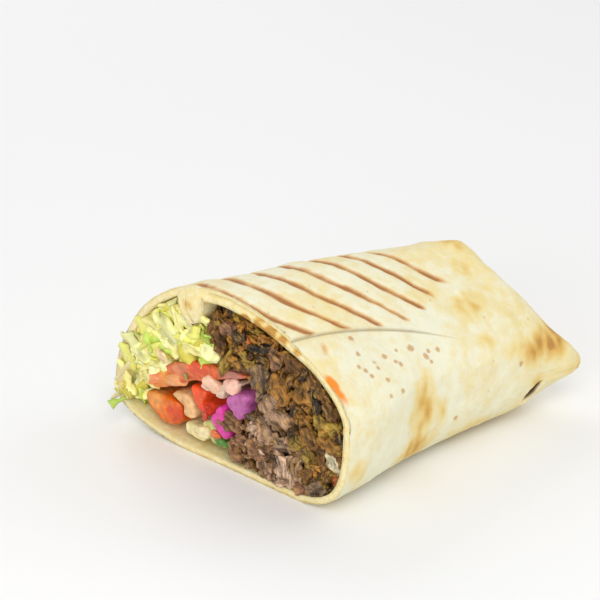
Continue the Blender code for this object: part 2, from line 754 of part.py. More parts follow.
def build_cut_piece(name, outline, depth, material, ahead, tilt):
    """A cut vegetable piece that lies along the roll, its cut face at the front."""
    points = smooth_outline(outline)
    middle = sum(points, Vector((0, 0))) / len(points)
    stations = [(0.0, PIECE_EDGE_INSET), (PIECE_EDGE, 0.0), (depth - PIECE_EDGE, 0.0),
                (depth, PIECE_EDGE_INSET)]
    mesh = bmesh.new()
    rings = []
    for along, drawn_in in stations:
        ring = []
        for point in points:
            arm = point - middle
            moved = point + arm.normalized() * max(drawn_in + PIECE_GROWTH, -0.4 * arm.length)
            place = to_roll(moved.x * MM, moved.y * MM, 0, ahead + along)
            place.x += tilt * arm.x * MM
            ring.append(place)
        rings.append(add_ring(mesh, ring))
    for first, second in zip(rings, rings[1:]):
        join_rings(mesh, first, second)
    close_ring(mesh, rings[0])
    close_ring(mesh, rings[-1])
    return new_object(name, mesh, material)


def build_vegetables():
    """Tomato, onion, cabbage and cucumber pieces between the meat and the leaf."""
    tomato = new_material("tomato", TOMATO_COLOUR, 0.25)
    pickled = new_material("pickled_onion", PICKLED_COLOUR, 0.30)
    onion = new_material("onion", ONION_COLOUR, 0.30)
    cabbage = new_material("cabbage", CABBAGE_COLOUR, 0.40)
    cucumber = new_material("cucumber", CUCUMBER_COLOUR, 0.35)
    pieces = [
        ("tomato_slab", TOMATO_SLAB_OUTLINE, SLAB_DEPTH, tomato, 0.4, 0.0),
        ("tomato_wedge", TOMATO_WEDGE_OUTLINE, PIECE_DEPTH, tomato, 0.8, 0.0),
        ("tomato_strip", TOMATO_STRIP_OUTLINE, PIECE_DEPTH, tomato, 1.1, 0.05),
        ("pickled_onion", PICKLED_ONION_OUTLINE, PIECE_DEPTH * 0.7, pickled, -0.6, 0.05),
        ("pickled_onion_shred", PICKLED_SHRED_OUTLINE, PIECE_DEPTH * 0.8, pickled, -0.3, 0.05),
        ("onion_chunk", ONION_CHUNK_OUTLINE, PIECE_DEPTH * 0.8, onion, 0.5, 0.0),
        ("onion_shard", ONION_SHARD_OUTLINE, PIECE_DEPTH * 0.8, onion, 0.6, 0.0),
        ("onion_slice", ONION_SLICE_OUTLINE, PIECE_DEPTH * 0.9, onion, 1.2, 0.0),
        ("cabbage_rib", CABBAGE_OUTLINE, PIECE_DEPTH, cabbage, 1.4, 0.0),
        ("cucumber_slice", CUCUMBER_OUTLINE, PIECE_DEPTH * 0.8, cucumber, 1.6, 0.0),
    ]
    return [build_cut_piece(name, outline, depth, material, ahead * MM, tilt)
            for name, outline, depth, material, ahead, tilt in pieces]


def move_to_origin(shapes):
    """Scale the whole part to metres and put its middle over the origin."""
    corners = [shape.matrix_world @ vertex.co for shape in shapes
               for vertex in shape.data.vertices]
    low = Vector(min(point[axis] for point in corners) for axis in range(3))
    high = Vector(max(point[axis] for point in corners) for axis in range(3))
    shift = Vector((-(low.x + high.x) / 2, -(low.y + high.y) / 2, 0))
    for shape in shapes:
        shape.data.transform(Matrix.Scale(METRES_IN_MM, 4) @ Matrix.Translation(shift))
        shape.data.update()


def main():
    """Build every piece of the half roll."""
    for shape in list(bpy.data.objects):
        bpy.data.objects.remove(shape)
    wrap = build_wrap(new_material("bread", BREAD_COLOUR, 0.75))
    meat = build_meat(new_material("meat", MEAT_COLOUR, 0.6))
    lettuce = build_lettuce(new_material("lettuce", LETTUCE_COLOUR, 0.45))
    vegetables = build_vegetables()
    move_to_origin([wrap, meat, lettuce] + vegetables)


main()
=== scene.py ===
"""Looks of the pressed shawarma half, built round its packed solids.

Sizes are in millimetres in the roll's own frame: X runs from the cut to the folded end, -Y is
the meat side, +Y the salad side and Z is up. settle() turns a finished piece into metres.
"""
import math
import random

import bpy
import numpy as np
from mathutils import Matrix, Vector, noise


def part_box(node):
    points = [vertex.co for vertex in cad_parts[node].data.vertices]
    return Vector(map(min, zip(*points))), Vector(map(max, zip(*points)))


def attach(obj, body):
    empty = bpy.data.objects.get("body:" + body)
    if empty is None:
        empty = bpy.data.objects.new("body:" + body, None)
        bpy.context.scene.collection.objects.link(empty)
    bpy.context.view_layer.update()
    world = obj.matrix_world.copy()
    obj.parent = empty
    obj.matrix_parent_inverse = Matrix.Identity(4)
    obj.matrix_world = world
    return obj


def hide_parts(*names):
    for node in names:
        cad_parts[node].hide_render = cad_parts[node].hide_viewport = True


bl_info = {
    "name": "Shawarma Half",
    "version": (1, 0, 0),
    "blender": (4, 5, 0),
    "location": "3D View > Sidebar > Shawarma",
    "description": "Rolls, fills and lights half of a pressed shawarma",
    "category": "Object",
}

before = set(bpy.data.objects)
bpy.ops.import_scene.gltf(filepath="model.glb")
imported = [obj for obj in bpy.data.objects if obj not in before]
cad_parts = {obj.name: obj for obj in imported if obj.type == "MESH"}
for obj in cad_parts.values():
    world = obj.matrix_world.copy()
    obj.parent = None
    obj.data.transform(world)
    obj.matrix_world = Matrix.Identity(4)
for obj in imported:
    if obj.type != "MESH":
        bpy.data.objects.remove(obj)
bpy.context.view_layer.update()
WRAP_LOW, WRAP_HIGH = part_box("wrap")

DEG = math.pi / 180
METRES_IN_MM = 0.001
MEAT_SEED = 41
LEAF_SEED = 57
VEGETABLE_SEED = 23

# The roll's outside, as in the solids
ROLL_LENGTH = 84.9
MEAT_HALF_WIDTH = 41.3
SALAD_HALF_WIDTH = 38.8
ROLL_HEIGHT = 51.3
END_HALF_WIDTH = 29.7
END_HEIGHT = 41.7
END_HUMP = 5.1
END_HUMP_PLACE = 0.95
END_HUMP_SPREAD = 0.09
EAR_LENGTH = 12.2
EAR_HEIGHT = 13.7
EAR_POWER = 2.6
FOLD_ROUNDING = 1.0
WAIST = 2.9
WAIST_END = 0.9
TAPER_POWER = 1.2
CUT_BIAS = 13.2 * DEG
CUT_SLOPE = math.tan(CUT_BIAS)
FLAT_DEPTH = 0.9
WIDEST_ON_MEAT_SIDE = 28.4
WIDEST_ON_SALAD_SIDE = 12.6
TOP_SQUARENESS = 1.81
TOP_SQUARENESS_AT_END = 1.2
CROWN_POWER = 1.6
CROWN_POWER_AT_END = 2.2
BOTTOM_POWER = 3.0
BOTTOM_SQUARENESS_MEAT = 4.43
BOTTOM_SQUARENESS_SALAD = 2.0
END_BLUNTNESS = 16

# The overlap on top: a seam outside, a hanging lip inside
SEAM_ANGLE = 125 * DEG
SEAM_SLOPE = 1.5 * DEG
SEAM_CURVE = 77 * DEG
SEAM_HALF_STEP = 0.3 * DEG
SEAM_FADE = (0.35, 0.65)
LIP_ANGLE = 66 * DEG
LIP_END_ANGLE = 80 * DEG
LIP_DROP = 8.8
LIP_LEAN = 1.2
LIP_FADE = (0.45, 0.80)
CAVITY_END = 0.84
BREAD_THICKNESS = 1.9
THINNING_SPAN = 14 * DEG

# Places where the solids stand: the wrap's far end and its meat side give the roll's frame
SHIFT_X = WRAP_HIGH.x / METRES_IN_MM - (ROLL_LENGTH + FOLD_ROUNDING + EAR_LENGTH)
SHIFT_Y = WRAP_LOW.y / METRES_IN_MM + MEAT_HALF_WIDTH
TO_PART = Matrix.Scale(METRES_IN_MM, 4) @ Matrix.Translation((SHIFT_X, SHIFT_Y, 0))

# Grill marks: the first one's place over the middle of the roll, the pitch and the fan
MARK_FIRST = 0.1
MARK_PITCH = 9.0
MARK_DRIFT = 0.095
MARK_FAN = 0.031
MARK_BOW = 0.019
MARK_COUNT = 7
MARK_REACHES = (7.0, 7.2, 8.0, 8.4, 7.2, 6.0, 4.6)
MARK_HALF_WIDTH = 1.35

CAMERA_PLACE = Vector((-227.934, -357.180, 263.697))
CAMERA_TURN = 36.604 * DEG
CAMERA_DROP = 30.587 * DEG
CAMERA_LENS = 115.56
SENSOR = 36.0
FRAME_PIXELS = 600
LENS_AXIS_PIXEL = (340.8, 420.9)


# Numbers and shapes of the roll

def signed_power(value, power):
    """Raise sizes to a power and keep their signs."""
    return np.sign(value) * np.abs(value) ** power


def step(value, low, high):
    """Rise smoothly from 0 to 1 between two limits."""
    share = np.clip((value - low) / (high - low), 0, 1)
    return share * share * (3 - 2 * share)


def fade(value, limits):
    """Fall smoothly from 1 to 0 between two limits."""
    return 1 - step(value, *limits)


def blend(first, second, share):
    """Blend two values or arrays."""
    return first + (second - first) * share


def bump(value, width):
    """A smooth hill of height 1 and a given half width."""
    return np.exp(-(value / width) ** 2)


def wobble(points, size, seed=0):
    """Smooth noise from -1 to 1 at points, with lumps of a size."""
    offset = Vector((seed * 17.3, seed * 5.1, seed * 9.7))
    flat = np.reshape(points, (-1, 3))
    values = [noise.noise(Vector(point) / size + offset) for point in flat]
    return np.reshape(values, np.shape(points)[:-1])


def half_width(t, side):
    """Half width of the roll on the meat or the salad side."""
    start = np.where(side > 0, SALAD_HALF_WIDTH, MEAT_HALF_WIDTH)
    width = blend(start, END_HALF_WIDTH, t ** TAPER_POWER)
    waist = WAIST * np.sin(math.pi * np.minimum(t / WAIST_END, 1)) ** 2
    return np.where(side < 0, width - waist, width)


def height(t):
    """Height of the roll at a share t of its length."""
    hump = END_HUMP * bump(t - END_HUMP_PLACE, END_HUMP_SPREAD)
    return blend(ROLL_HEIGHT, END_HEIGHT, t ** TAPER_POWER) + hump


def section(t, angle):
    """Points of the roll's outside at shares of its length and angles round it."""
    t, angle = np.broadcast_arrays(t, angle)
    cosine = np.cos(angle)
    sine = np.sin(angle)
    top = blend(TOP_SQUARENESS, TOP_SQUARENESS_AT_END, t ** 3)
    bottom = np.where(cosine >= 0, BOTTOM_SQUARENESS_SALAD, BOTTOM_SQUARENESS_MEAT)
    bottom = blend(bottom, TOP_SQUARENESS_AT_END, t ** 12)
    share = signed_power(cosine, 2 / np.where(sine >= 0, top, bottom))
    across = half_width(t, cosine) * share
    widest = blend(WIDEST_ON_MEAT_SIDE, WIDEST_ON_SALAD_SIDE, (share + 1) / 2)
    widest = blend(widest, EAR_HEIGHT, t ** 4)
    closing = np.sqrt(np.clip(1 - t ** END_BLUNTNESS, 0, 1))
    crown = blend(CROWN_POWER, CROWN_POWER_AT_END, t ** 3)
    over = widest + (height(t) - widest) * np.abs(sine) ** (2 / crown) * closing
    under = widest - widest * np.abs(sine) ** (2 / BOTTOM_POWER) * closing
    up = np.maximum(np.where(sine >= 0, over, under) - FLAT_DEPTH, 0)
    ear = EAR_LENGTH * np.abs(share) ** EAR_POWER * t ** 8
    along = ROLL_LENGTH * t - (1 - t) * across * CUT_SLOPE + ear
    return np.stack([along, across, up], axis=-1)


def outward(t, angle):
    """Directions away from the bread in the planes of the sections."""
    turn = 1.5 * DEG
    along = (section(t, angle + turn) - section(t, angle - turn))[..., 1:]
    along /= np.linalg.norm(along, axis=-1, keepdims=True) + 1e-9
    return np.stack([np.zeros_like(along[..., 0]), along[..., 1], -along[..., 0]], axis=-1)


def seam_angle(t):
    """Angle of the seam, which drifts down the meat side away from the cut."""
    return SEAM_ANGLE + SEAM_SLOPE * t + SEAM_CURVE * t * t


def seam_rise(t, angle, height_of_step):
    """Height of the overlapping edge over the bread under it."""
    share = (angle - LIP_END_ANGLE) / (seam_angle(t) - LIP_END_ANGLE)
    inside = (share > 0) & (share < 1)
    return np.where(inside, height_of_step * np.clip(share, 0, 1) ** 0.5 * fade(t, SEAM_FADE), 0)


def bread_depth(t, angle, bread, height_of_step):
    """Thickness of the bread inwards from its even outside: two layers in the overlap."""
    past_seam = (angle - seam_angle(t)) / THINNING_SPAN
    double = 2 * bread - seam_rise(t, angle, height_of_step)
    rise = height_of_step * fade(t, SEAM_FADE)
    thinning = bread + (bread - rise) * np.clip(1 - past_seam, 0, 1)
    depth = np.where(past_seam > 0, thinning, double)
    return np.where(angle < LIP_END_ANGLE - 0.001, bread, depth)


def on_cut(across, up, ahead=0.0):
    """A point of the slanted cut, moved along the roll."""
    return Vector((ahead - across * CUT_SLOPE, across, up))


def inside(outline, across, up):
    """Whether a point lies inside an outline."""
    result = False
    for (y0, z0), (y1, z1) in zip(outline, outline[1:] + outline[:1]):
        crosses = (z0 > up) != (z1 > up)
        if crosses and across < y0 + (up - z0) * (y1 - y0) / (z1 - z0):
            result = not result
    return result


# Objects

def deselect_all():
    """Leave nothing selected, so that an operator acts on one piece alone."""
    if bpy.context.object and bpy.context.object.mode != 'OBJECT':
        bpy.ops.object.mode_set(mode='OBJECT')
    bpy.ops.object.select_all(action='DESELECT')


def activate(piece):
    """Make a piece the only one selected."""
    deselect_all()
    piece.select_set(True)
    bpy.context.view_layer.objects.active = piece


def edit_all(piece):
    """Open a piece in edit mode with everything selected."""
    activate(piece)
    bpy.ops.object.mode_set(mode='EDIT')
    bpy.ops.mesh.select_all(action='SELECT')


def leave_edit():
    """Go back to object mode."""
    bpy.ops.object.mode_set(mode='OBJECT')


def apply_modifier(piece, kind, **settings):
    """Add a modifier with its settings and apply it."""
    activate(piece)
    modifier = piece.modifiers.new(kind.lower(), kind)
    for name, value in settings.items():
        setattr(modifier, name, value)
    bpy.ops.object.modifier_apply(modifier=modifier.name)


def get_vectors(items, field):
    """A vector of each item as an array."""
    flat = np.zeros(len(items) * 3)
    items.foreach_get(field, flat)
    return flat.reshape(-1, 3)


def get_points(piece):
    """Vertex places of a piece."""
    return get_vectors(piece.data.vertices, "co")


def get_normals(piece):
    """Vertex normals of a piece."""
    return get_vectors(piece.data.vertex_normals, "vector")


def set_points(piece, points):
    """Write vertex places of a piece."""
    piece.data.vertices.foreach_set("co", np.ravel(points))
    piece.data.update()


def store(piece, name, values, kind='FLOAT', field="value"):
    """Store values at the vertices for the material to read."""
    layer = piece.data.attributes.new(name, kind, 'POINT')
    layer.data.foreach_set(field, np.ravel(values).astype(np.float32))


def store_shade(piece, colours):
    """Store the own colour of each vertex."""
    opaque = np.ones((len(colours), 1))
    store(piece, "shade", np.hstack([colours, opaque]), 'FLOAT_COLOR', "color")


def settle(piece, material, nodes=()):
    """Finish a piece: metres, smooth shading, material, body and the solids that it stands for."""
    piece.data.transform(TO_PART)
    piece.data.materials.clear()
    piece.data.materials.append(material)
    piece.data.shade_smooth()
    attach(piece, "root")
    for node in nodes:
        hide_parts(node)


def copy_of_node(node, name):
    """A merged copy of a solid in the roll's frame."""
    piece = bpy.data.objects.new(name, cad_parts[node].data.copy())
    bpy.context.scene.collection.objects.link(piece)
    piece.data.transform(TO_PART.inverted())
    edit_all(piece)
    bpy.ops.mesh.remove_doubles(threshold=0.001)
    leave_edit()
    return piece


def join_chunks(name, chunks, free=False):
    """One mesh out of many small closed shapes, held inside the bread unless they are free.

    Each is a tuple of its points, faces, places of the grain and colours.
    """
    faces = []
    start = 0
    for own_points, own_faces, _, _ in chunks:
        faces += [tuple(corner + start for corner in face) for face in own_faces]
        start += len(own_points)
    points, grain, colours = (np.concatenate([chunk[part] for chunk in chunks])
                              for part in (0, 2, 3))
    mesh = bpy.data.meshes.new(name)
    mesh.from_pydata((points if free else kept_inside(points)).tolist(), [], faces)
    piece = bpy.data.objects.new(name, mesh)
    bpy.context.scene.collection.objects.link(piece)
    store(piece, "grain", grain, 'FLOAT_VECTOR', "vector")
    store_shade(piece, np.clip(colours, 0, 1))
    edit_all(piece)
    bpy.ops.mesh.normals_make_consistent(inside=False)
    leave_edit()
    return piece


def settle_chunks(name, chunks, material, nodes=(), free=False):
    """Join small closed shapes and finish them as one piece."""
    settle(join_chunks(name, chunks, free), material, nodes)


# Materials

class Number:
    """A number in a material that takes arithmetic."""

    def __init__(self, paint, socket):
        self.paint = paint
        self.socket = socket

    def join(self, operation, *others):
        """The result of a Math node on this number and others."""
        return self.paint.node('ShaderNodeMath', {"operation": operation},
                               dict(enumerate((self, *others))))

    def __add__(self, other):
        return self.join('ADD', other)

    __radd__ = __add__

    def __sub__(self, other):
        return self.join('SUBTRACT', other)

    def __rsub__(self, other):
        return self.paint.node('ShaderNodeMath', {"operation": 'SUBTRACT'}, {0: other, 1: self})

    def __mul__(self, other):
        return self.join('MULTIPLY', other)

    __rmul__ = __mul__

    def rise(self, low, high):
        """Rise smoothly from 0 to 1 between two limits."""
        settings = {"interpolation_type": 'SMOOTHSTEP'}
        return self.paint.node('ShaderNodeMapRange', settings, {0: self, 1: low, 2: high})


class Paint:
    """A material under construction."""

    def __init__(self, name):
        self.material = bpy.data.materials.new(name)
        self.material.use_nodes = True
        self.tree = self.material.node_tree
        self.shader = self.tree.nodes["Principled BSDF"]
        self.place = self.node('ShaderNodeTexCoord', output="Object").socket

    def node(self, kind, settings=None, sockets=None, output=0):
        """Add a node with its settings and the values or links of its sockets."""
        node = self.tree.nodes.new(kind)
        for name, value in (settings or {}).items():
            setattr(node, name, value)
        for name, value in (sockets or {}).items():
            self.feed(node.inputs[name], value)
        return Number(self, node.outputs[output])

    def feed(self, socket, value):
        """Link a socket or set its value."""
        if isinstance(value, Number):
            value = value.socket
        if isinstance(value, bpy.types.NodeSocket):
            self.tree.links.new(value, socket)
        elif socket.type == 'RGBA' and len(value) == 3:
            socket.default_value = (*value, 1)
        else:
            socket.default_value = value

    def noise(self, size, detail=2, roughness=0.5, squeeze=None, place=None):
        """Smooth noise with lumps of a size in millimetres, in space or at stored places."""
        scale = 1 / size if place else 1 / (size * METRES_IN_MM)
        place = place or self.place
        if squeeze:
            place = self.node('ShaderNodeMapping', None, {"Vector": place, "Scale": squeeze})
        sockets = {"Vector": place, "Scale": scale, "Detail": detail, "Roughness": roughness}
        return self.node('ShaderNodeTexNoise', None, sockets)

    def cells(self, size):
        """Distance to the nearest of many scattered points, in cells of a size."""
        sockets = {"Vector": self.place, "Scale": 1 / (size * METRES_IN_MM), "Randomness": 1.0}
        return self.node('ShaderNodeTexVoronoi', None, sockets)

    def stored(self, name, output="Fac"):
        """A number stored at the vertices, or a colour or vector."""
        return self.node('ShaderNodeAttribute', {"attribute_name": name}, output=output)

    def mix(self, share, first, second, kind='MIX'):
        """Mix two colours."""
        settings = {"data_type": 'RGBA', "blend_type": kind}
        return self.node('ShaderNodeMix', settings, {0: share, 6: first, 7: second}, output=2)

    def finish(self, colour, roughness, relief=None, depth=0.1, **constants):
        """Feed the shader. Relief is in shares of a depth in millimetres."""
        self.feed(self.shader.inputs["Base Color"], colour)
        self.feed(self.shader.inputs["Roughness"], roughness)
        for name, value in constants.items():
            self.feed(self.shader.inputs[name.replace("_", " ")], value)
        if relief is not None:
            sockets = {"Height": relief, "Distance": depth * METRES_IN_MM, "Strength": 1.0}
            normal = self.node('ShaderNodeBump', None, sockets)
            self.feed(self.shader.inputs["Normal"], normal)
        return self.material


def colour_property(name, description, default):
    """A colour that a user may change."""
    return bpy.props.FloatVectorProperty(name=name, description=description, subtype='COLOR',
                                         size=3, min=0, max=1, default=default)


def length_property(name, description, default):
    """A length that a user may change, its default in millimetres."""
    return bpy.props.FloatProperty(name=name, description=description, subtype='DISTANCE',
                                   unit='LENGTH', min=0, precision=4,
                                   default=default * METRES_IN_MM)


# Flatbread

class ShawarmaBreadSettings(bpy.types.PropertyGroup):
    """Sizes and colours of the flatbread."""

    thickness: length_property("Thickness", "Thickness of one layer of bread",
                               BREAD_THICKNESS)
    seam_step: length_property("Seam Step", "Height of the overlapping edge", 1.0)
    groove: length_property("Groove", "Depth of the grill marks", 0.6)
    swell: length_property("Swell", "Height of the bread's uneven swelling", 0.75)
    ivory: colour_property("Ivory", "Palest bread", (0.84, 0.82, 0.62))
    straw: colour_property("Straw", "Warm untoasted bread", (0.83, 0.68, 0.31))
    tan: colour_property("Tan", "Lightly toasted bread", (0.71, 0.42, 0.085))
    toast: colour_property("Toast", "Toasted spots", (0.42, 0.165, 0.03))
    halo: colour_property("Halo", "Glow beside a grill mark", (0.70, 0.36, 0.10))
    mark: colour_property("Mark", "Heart of a grill mark", (0.34, 0.12, 0.025))
    sauce: colour_property("Sauce", "Smear of chilli oil", (0.93, 0.26, 0.01))


BREAD_COLUMNS = 396
LIP_COLUMNS = 26
INNER_ROWS = 22
RIM_ROWS = 8
OUTER_ROWS = 218
RIM_WAVE = 0.45
POCKET_START = Vector((76.0, -29.8, 7.4))
POCKET_END = Vector((81.2, -30.8, 11.5))
FLOUR = (0.90, 0.85, 0.70)
FRECKLE = (0.55, 0.27, 0.07)
CRUMB = (0.86, 0.78, 0.48)
# Painted shadow: the thin dark line just past the seam's overlapping edge
SEAM_SHADE = (0.33, 0.25, 0.13)
# Painted shadow inside the open pocket under the ear
POCKET_SHADE = (0.10, 0.045, 0.012)
SAUCE_PLACE = (9.4, -35.4, 36.6)
SHORT_MARK_PLACE = (13.0, -26.3, 42.0)

# Toasted patches: place, reach, strength
TOASTED = [((37.5, -34.5, 19.5), (4, 5, 8.5), 1.0), ((36, -32, 8), (6, 6, 5), 0.85),
           ((13, -39.5, 13.5), (2.6, 4, 4), 0.5), ((44.5, -33.5, 17), (2.2, 4, 3.6), 0.55),
           ((63, -21.5, 36.5), (6.5, 4, 4), 0.6), ((75, 0, 43), (3.5, 5, 3), 0.6),
           ((70, -9.5, 41), (3, 3, 3), 0.5), ((85.5, -29, 23), (6, 6, 4.5), 1.15),
           ((78, -31, 22.5), (5, 4, 4), 0.85), ((62, -30, 30), (2.6, 3, 2.6), 0.4),
           ((70.5, -31, 26), (4.5, 4, 2.6), 0.5), ((93.5, -30, 12.5), (4, 5, 3), 0.55),
           ((80, -31, 13), (4, 4, 3), 0.4), ((84, 0, 30), (10, 14, 9), 0.5),
           ((90, 26, 16), (6, 8, 7), 0.9), ((30, 34, 22), (12, 9, 10), 0.5),
           ((55, 26, 32), (9, 8, 7), 0.45), ((58, -25, 6), (9, 8, 3), 0.4)]

# Browned places of the cut edge: across, up, reach, strength
RIM_TOAST = [(9, 44.5, 1.8, 1.3), (3.5, 45, 1.6, 1.5), (-2, 46, 1.6, 1.2), (-8, 45.3, 1.8, 1.8),
             (-12.5, 45, 2.0, 2.0), (-16, 44.5, 1.8, 2.0), (-19.5, 43.5, 1.6, 1.8),
             (-24.5, 42, 1.4, 1.2), (-38.5, 18, 1.6, 0.6), (38, 12, 2.0, 0.7),
             (33, 26, 1.8, 0.5), (-30, 37, 1.6, 0.7)]

# Scorched freckles: place, radius
FRECKLES = [((21, -29, 39), 0.8), ((24.5, -31.5, 37), 0.7), ((24.5, -32.5, 35.5), 0.6),
            ((19, -32, 37.5), 0.6), ((20.5, -33, 36.5), 0.7), ((28.5, -30, 36.5), 0.9),
            ((32, -32, 34), 0.7), ((31, -31.5, 35), 0.6), ((37.5, -29, 35.5), 1.2),
            ((41, -31, 33), 1.1), ((42.5, -30, 33.5), 0.7), ((45.5, -30, 33), 0.8),
            ((25.5, -35, 33), 0.8), ((29, -36.5, 29.5), 0.8), ((24.5, -37.5, 30), 0.7),
            ((21.5, -34, 35), 0.6), ((50, -32, 12.5), 0.8), ((72, -32, 21), 0.9),
            ((22, -25, 41.5), 1.0), ((42, -32, 31.5), 0.6), ((33, -29, 36.5), 0.6),
            ((40, 36, 24), 0.8), ((46, 34, 26), 0.7), ((25, 38, 20), 0.9), ((60, 30, 20), 0.8)]


def bread_angles(t):
    """Angles of the mesh columns, gathered at the lip and along the seam."""
    seam = seam_angle(t)
    strength = fade(t, (0.62, 0.85))
    even = np.linspace(0, 2 * math.pi, BREAD_COLUMNS + 1)
    half = LIP_COLUMNS // 2
    lip_column = round(LIP_ANGLE / (2 * math.pi) * BREAD_COLUMNS)
    seam_column = round(seam_angle(0.25) / (2 * math.pi) * BREAD_COLUMNS)
    columns = [0, lip_column - half, lip_column + half, seam_column, seam_column + 1,
               BREAD_COLUMNS]
    stops = [0, LIP_ANGLE - 0.5 * DEG, LIP_END_ANGLE + 0.5 * DEG, seam - SEAM_HALF_STEP,
             seam + SEAM_HALF_STEP, 2 * math.pi]
    gathered = np.interp(np.arange(BREAD_COLUMNS + 1), columns, stops)
    return blend(even, gathered, strength)


def rim_wave(angle, t):
    """How the cut edge wanders along the roll."""
    return RIM_WAVE * np.sin(3 * angle + 1) * fade(t, (0.0, 0.1))


def round_ears(points):
    """Blunt and widen the tips of the two ears, along and across the line to each tip."""
    side = np.sign(points[:, 1])
    ahead = points[:, 0] - ROLL_LENGTH - EAR_LENGTH
    beside = points[:, 1] * side - END_HALF_WIDTH
    share = np.clip((0.8 * ahead + 0.6 * beside) / EAR_LENGTH + 1, 0, 1)
    shift = 7 * share ** 2 * (1 - share) - share ** 4
    widen = 0.7 * share ** 2 * (0.8 * beside - 0.6 * ahead)
    points[:, 0] += 0.8 * shift - 0.6 * widen
    points[:, 1] += (0.6 * shift + 0.8 * widen) * side
    return points


def outer_row(t, bread):
    """Points of the bread's outside at one section."""
    angle = bread_angles(t)
    points = section(t, angle)
    points += outward(t, angle) * seam_rise(t, angle, bread["seam_step"])[:, None]
    points[:, 0] += rim_wave(angle, t)
    return round_ears(points)


def inner_row(t, bread):
    """Points of the bread's inside at one section, with the hanging lip."""
    angle = bread_angles(t)
    points = section(t, angle)
    depth = bread_depth(t, angle, bread["thickness"], bread["seam_step"])
    points -= outward(t, angle) * depth[:, None]
    share = (angle - LIP_ANGLE) / (LIP_END_ANGLE - LIP_ANGLE)
    hang = np.clip(1 - (2 * np.clip(share, 0, 1) - 1) ** 4, 0, 1) ** 0.7 * fade(t, LIP_FADE)
    curl = LIP_LEAN * np.sin(math.pi * hang / 2)
    points[:, 2] -= LIP_DROP * hang * (0.95 + 0.05 * np.cos(9 * t)) * (1 - 0.12 * share)
    points[:, 1] -= curl * (share < 0.5)
    points[:, 0] = ROLL_LENGTH * t - (1 - t) * points[:, 1] * CUT_SLOPE + rim_wave(angle, t)
    return points


def rim_row(share, bread):
    """Points of the cut edge of the bread at a share of its depth, with the layers' parting."""
    outer = outer_row(0, bread)
    inner = inner_row(0, bread)
    points = blend(outer, inner, share)
    angle = bread_angles(0)
    rounding = 0.5 * abs(2 * share - 1) ** 4
    flap = step(angle, LIP_ANGLE, LIP_ANGLE + 3 * DEG)
    flap *= 1 - step(angle, LIP_END_ANGLE - 3 * DEG, LIP_END_ANGLE + 2 * DEG)
    rounding = rounding - 1.1 * flap * math.sin(math.pi * min(1.0, share * 1.1)) ** 0.8
    double = step(angle, LIP_END_ANGLE, LIP_END_ANGLE + 6 * DEG)
    double *= 1 - step(angle, seam_angle(0) + 2 * DEG, seam_angle(0) + 12 * DEG)
    parting = 1.6 * bump(share - 0.46, 0.10) * double
    crumbly = 0.16 * wobble(points, 1.2, 3) + 0.22 * wobble(points, 3.0, 4)
    points[:, 0] += rounding + parting + crumbly
    return points


def mark_number(x, y):
    """Which grill mark a place lies on, as a number with a fraction."""
    bow = MARK_BOW * np.minimum(y, 10) ** 2
    return (x - MARK_FIRST + MARK_DRIFT * y - bow) / (MARK_PITCH - MARK_FAN * y)


def grill_mask(points, t):
    """How strongly the hot ridges of the press marked the bread."""
    x, y, z = np.moveaxis(points, -1, 0)
    number = mark_number(x, y) + 0.04 * wobble(points, 9, 11)
    nearest = np.clip(np.round(number), 0, MARK_COUNT - 1)
    distance = np.abs(number - nearest) * (MARK_PITCH - MARK_FAN * y)
    width = MARK_HALF_WIDTH * (1 + 0.3 * wobble(points, 5, 12))
    reach = np.interp(number, np.arange(MARK_COUNT), MARK_REACHES) + 0.8 * wobble(points, 9, 13)
    pressed = step(z - height(t) + reach, -0.3, 1.0)
    patchy = 0.85 + 0.35 * wobble(points, 6, 14)
    faint = np.array(points) - SHORT_MARK_PLACE
    beyond = 0.5 * bump(faint[..., 0] - 0.35 * faint[..., 1], 0.9) * bump(faint[..., 1], 2.2)
    return np.maximum(bump(distance, width) * pressed * patchy, beyond * (z > 35))


def toast_mask(points):
    """Where the bread is toasted tan: soft streaky patches and the folded end."""
    broad = wobble(points, 13, 21)
    streaks = wobble(points * (1, 1, 0.4), 2.4, 22)
    mask = 0.10 + 0.16 * broad + 0.10 * streaks + 0.16 * step(points[..., 0], 45, 80)
    mask += 0.10 * step(points[..., 2], 38, 46)
    for place, reach, strength in TOASTED:
        distance = np.linalg.norm((points - np.array(place)) / reach, axis=-1)
        patch = strength * bump(distance, 1) * (1 + 0.7 * streaks)
        mask = np.maximum(mask, mask * 0.6 + patch)
    mask += 0.35 * fade(points[..., 2], (0.0, 3.0))
    return np.clip(mask, 0, 1.2)


def freckle_mask(points):
    """Cones over the scorched freckles, which the material cuts off at their edges."""
    mask = np.zeros(points.shape[:-1])
    for place, radius in FRECKLES:
        distance = np.linalg.norm(points - np.array(place), axis=-1)
        mask = np.maximum(mask, np.clip(1 - distance / (1.3 * radius + 0.5), 0, 1))
    return mask


def swelling(points, t, amount):
    """Uneven outside of the bread over its filling, in millimetres along the normals."""
    broad = 0.75 * wobble(points, 17, 41) + 0.45 * wobble(points, 8, 42)
    fine = 0.16 * wobble(points, 3.2, 43) + 0.07 * wobble(points, 1.3, 44)
    x, y, z = np.moveaxis(points, -1, 0)
    fan = np.arctan2(z - EAR_HEIGHT, np.abs(y) - END_HALF_WIDTH - 4)
    creases = np.abs(wobble(np.stack([fan * 9, x / 14, np.sign(y) * 5], axis=-1), 1, 45))
    near_fold = step(t, 0.66, 0.97)
    lifted = step(z, 0.3, 4.0)
    return (amount * broad + fine - 0.35 * creases * near_fold) * lifted


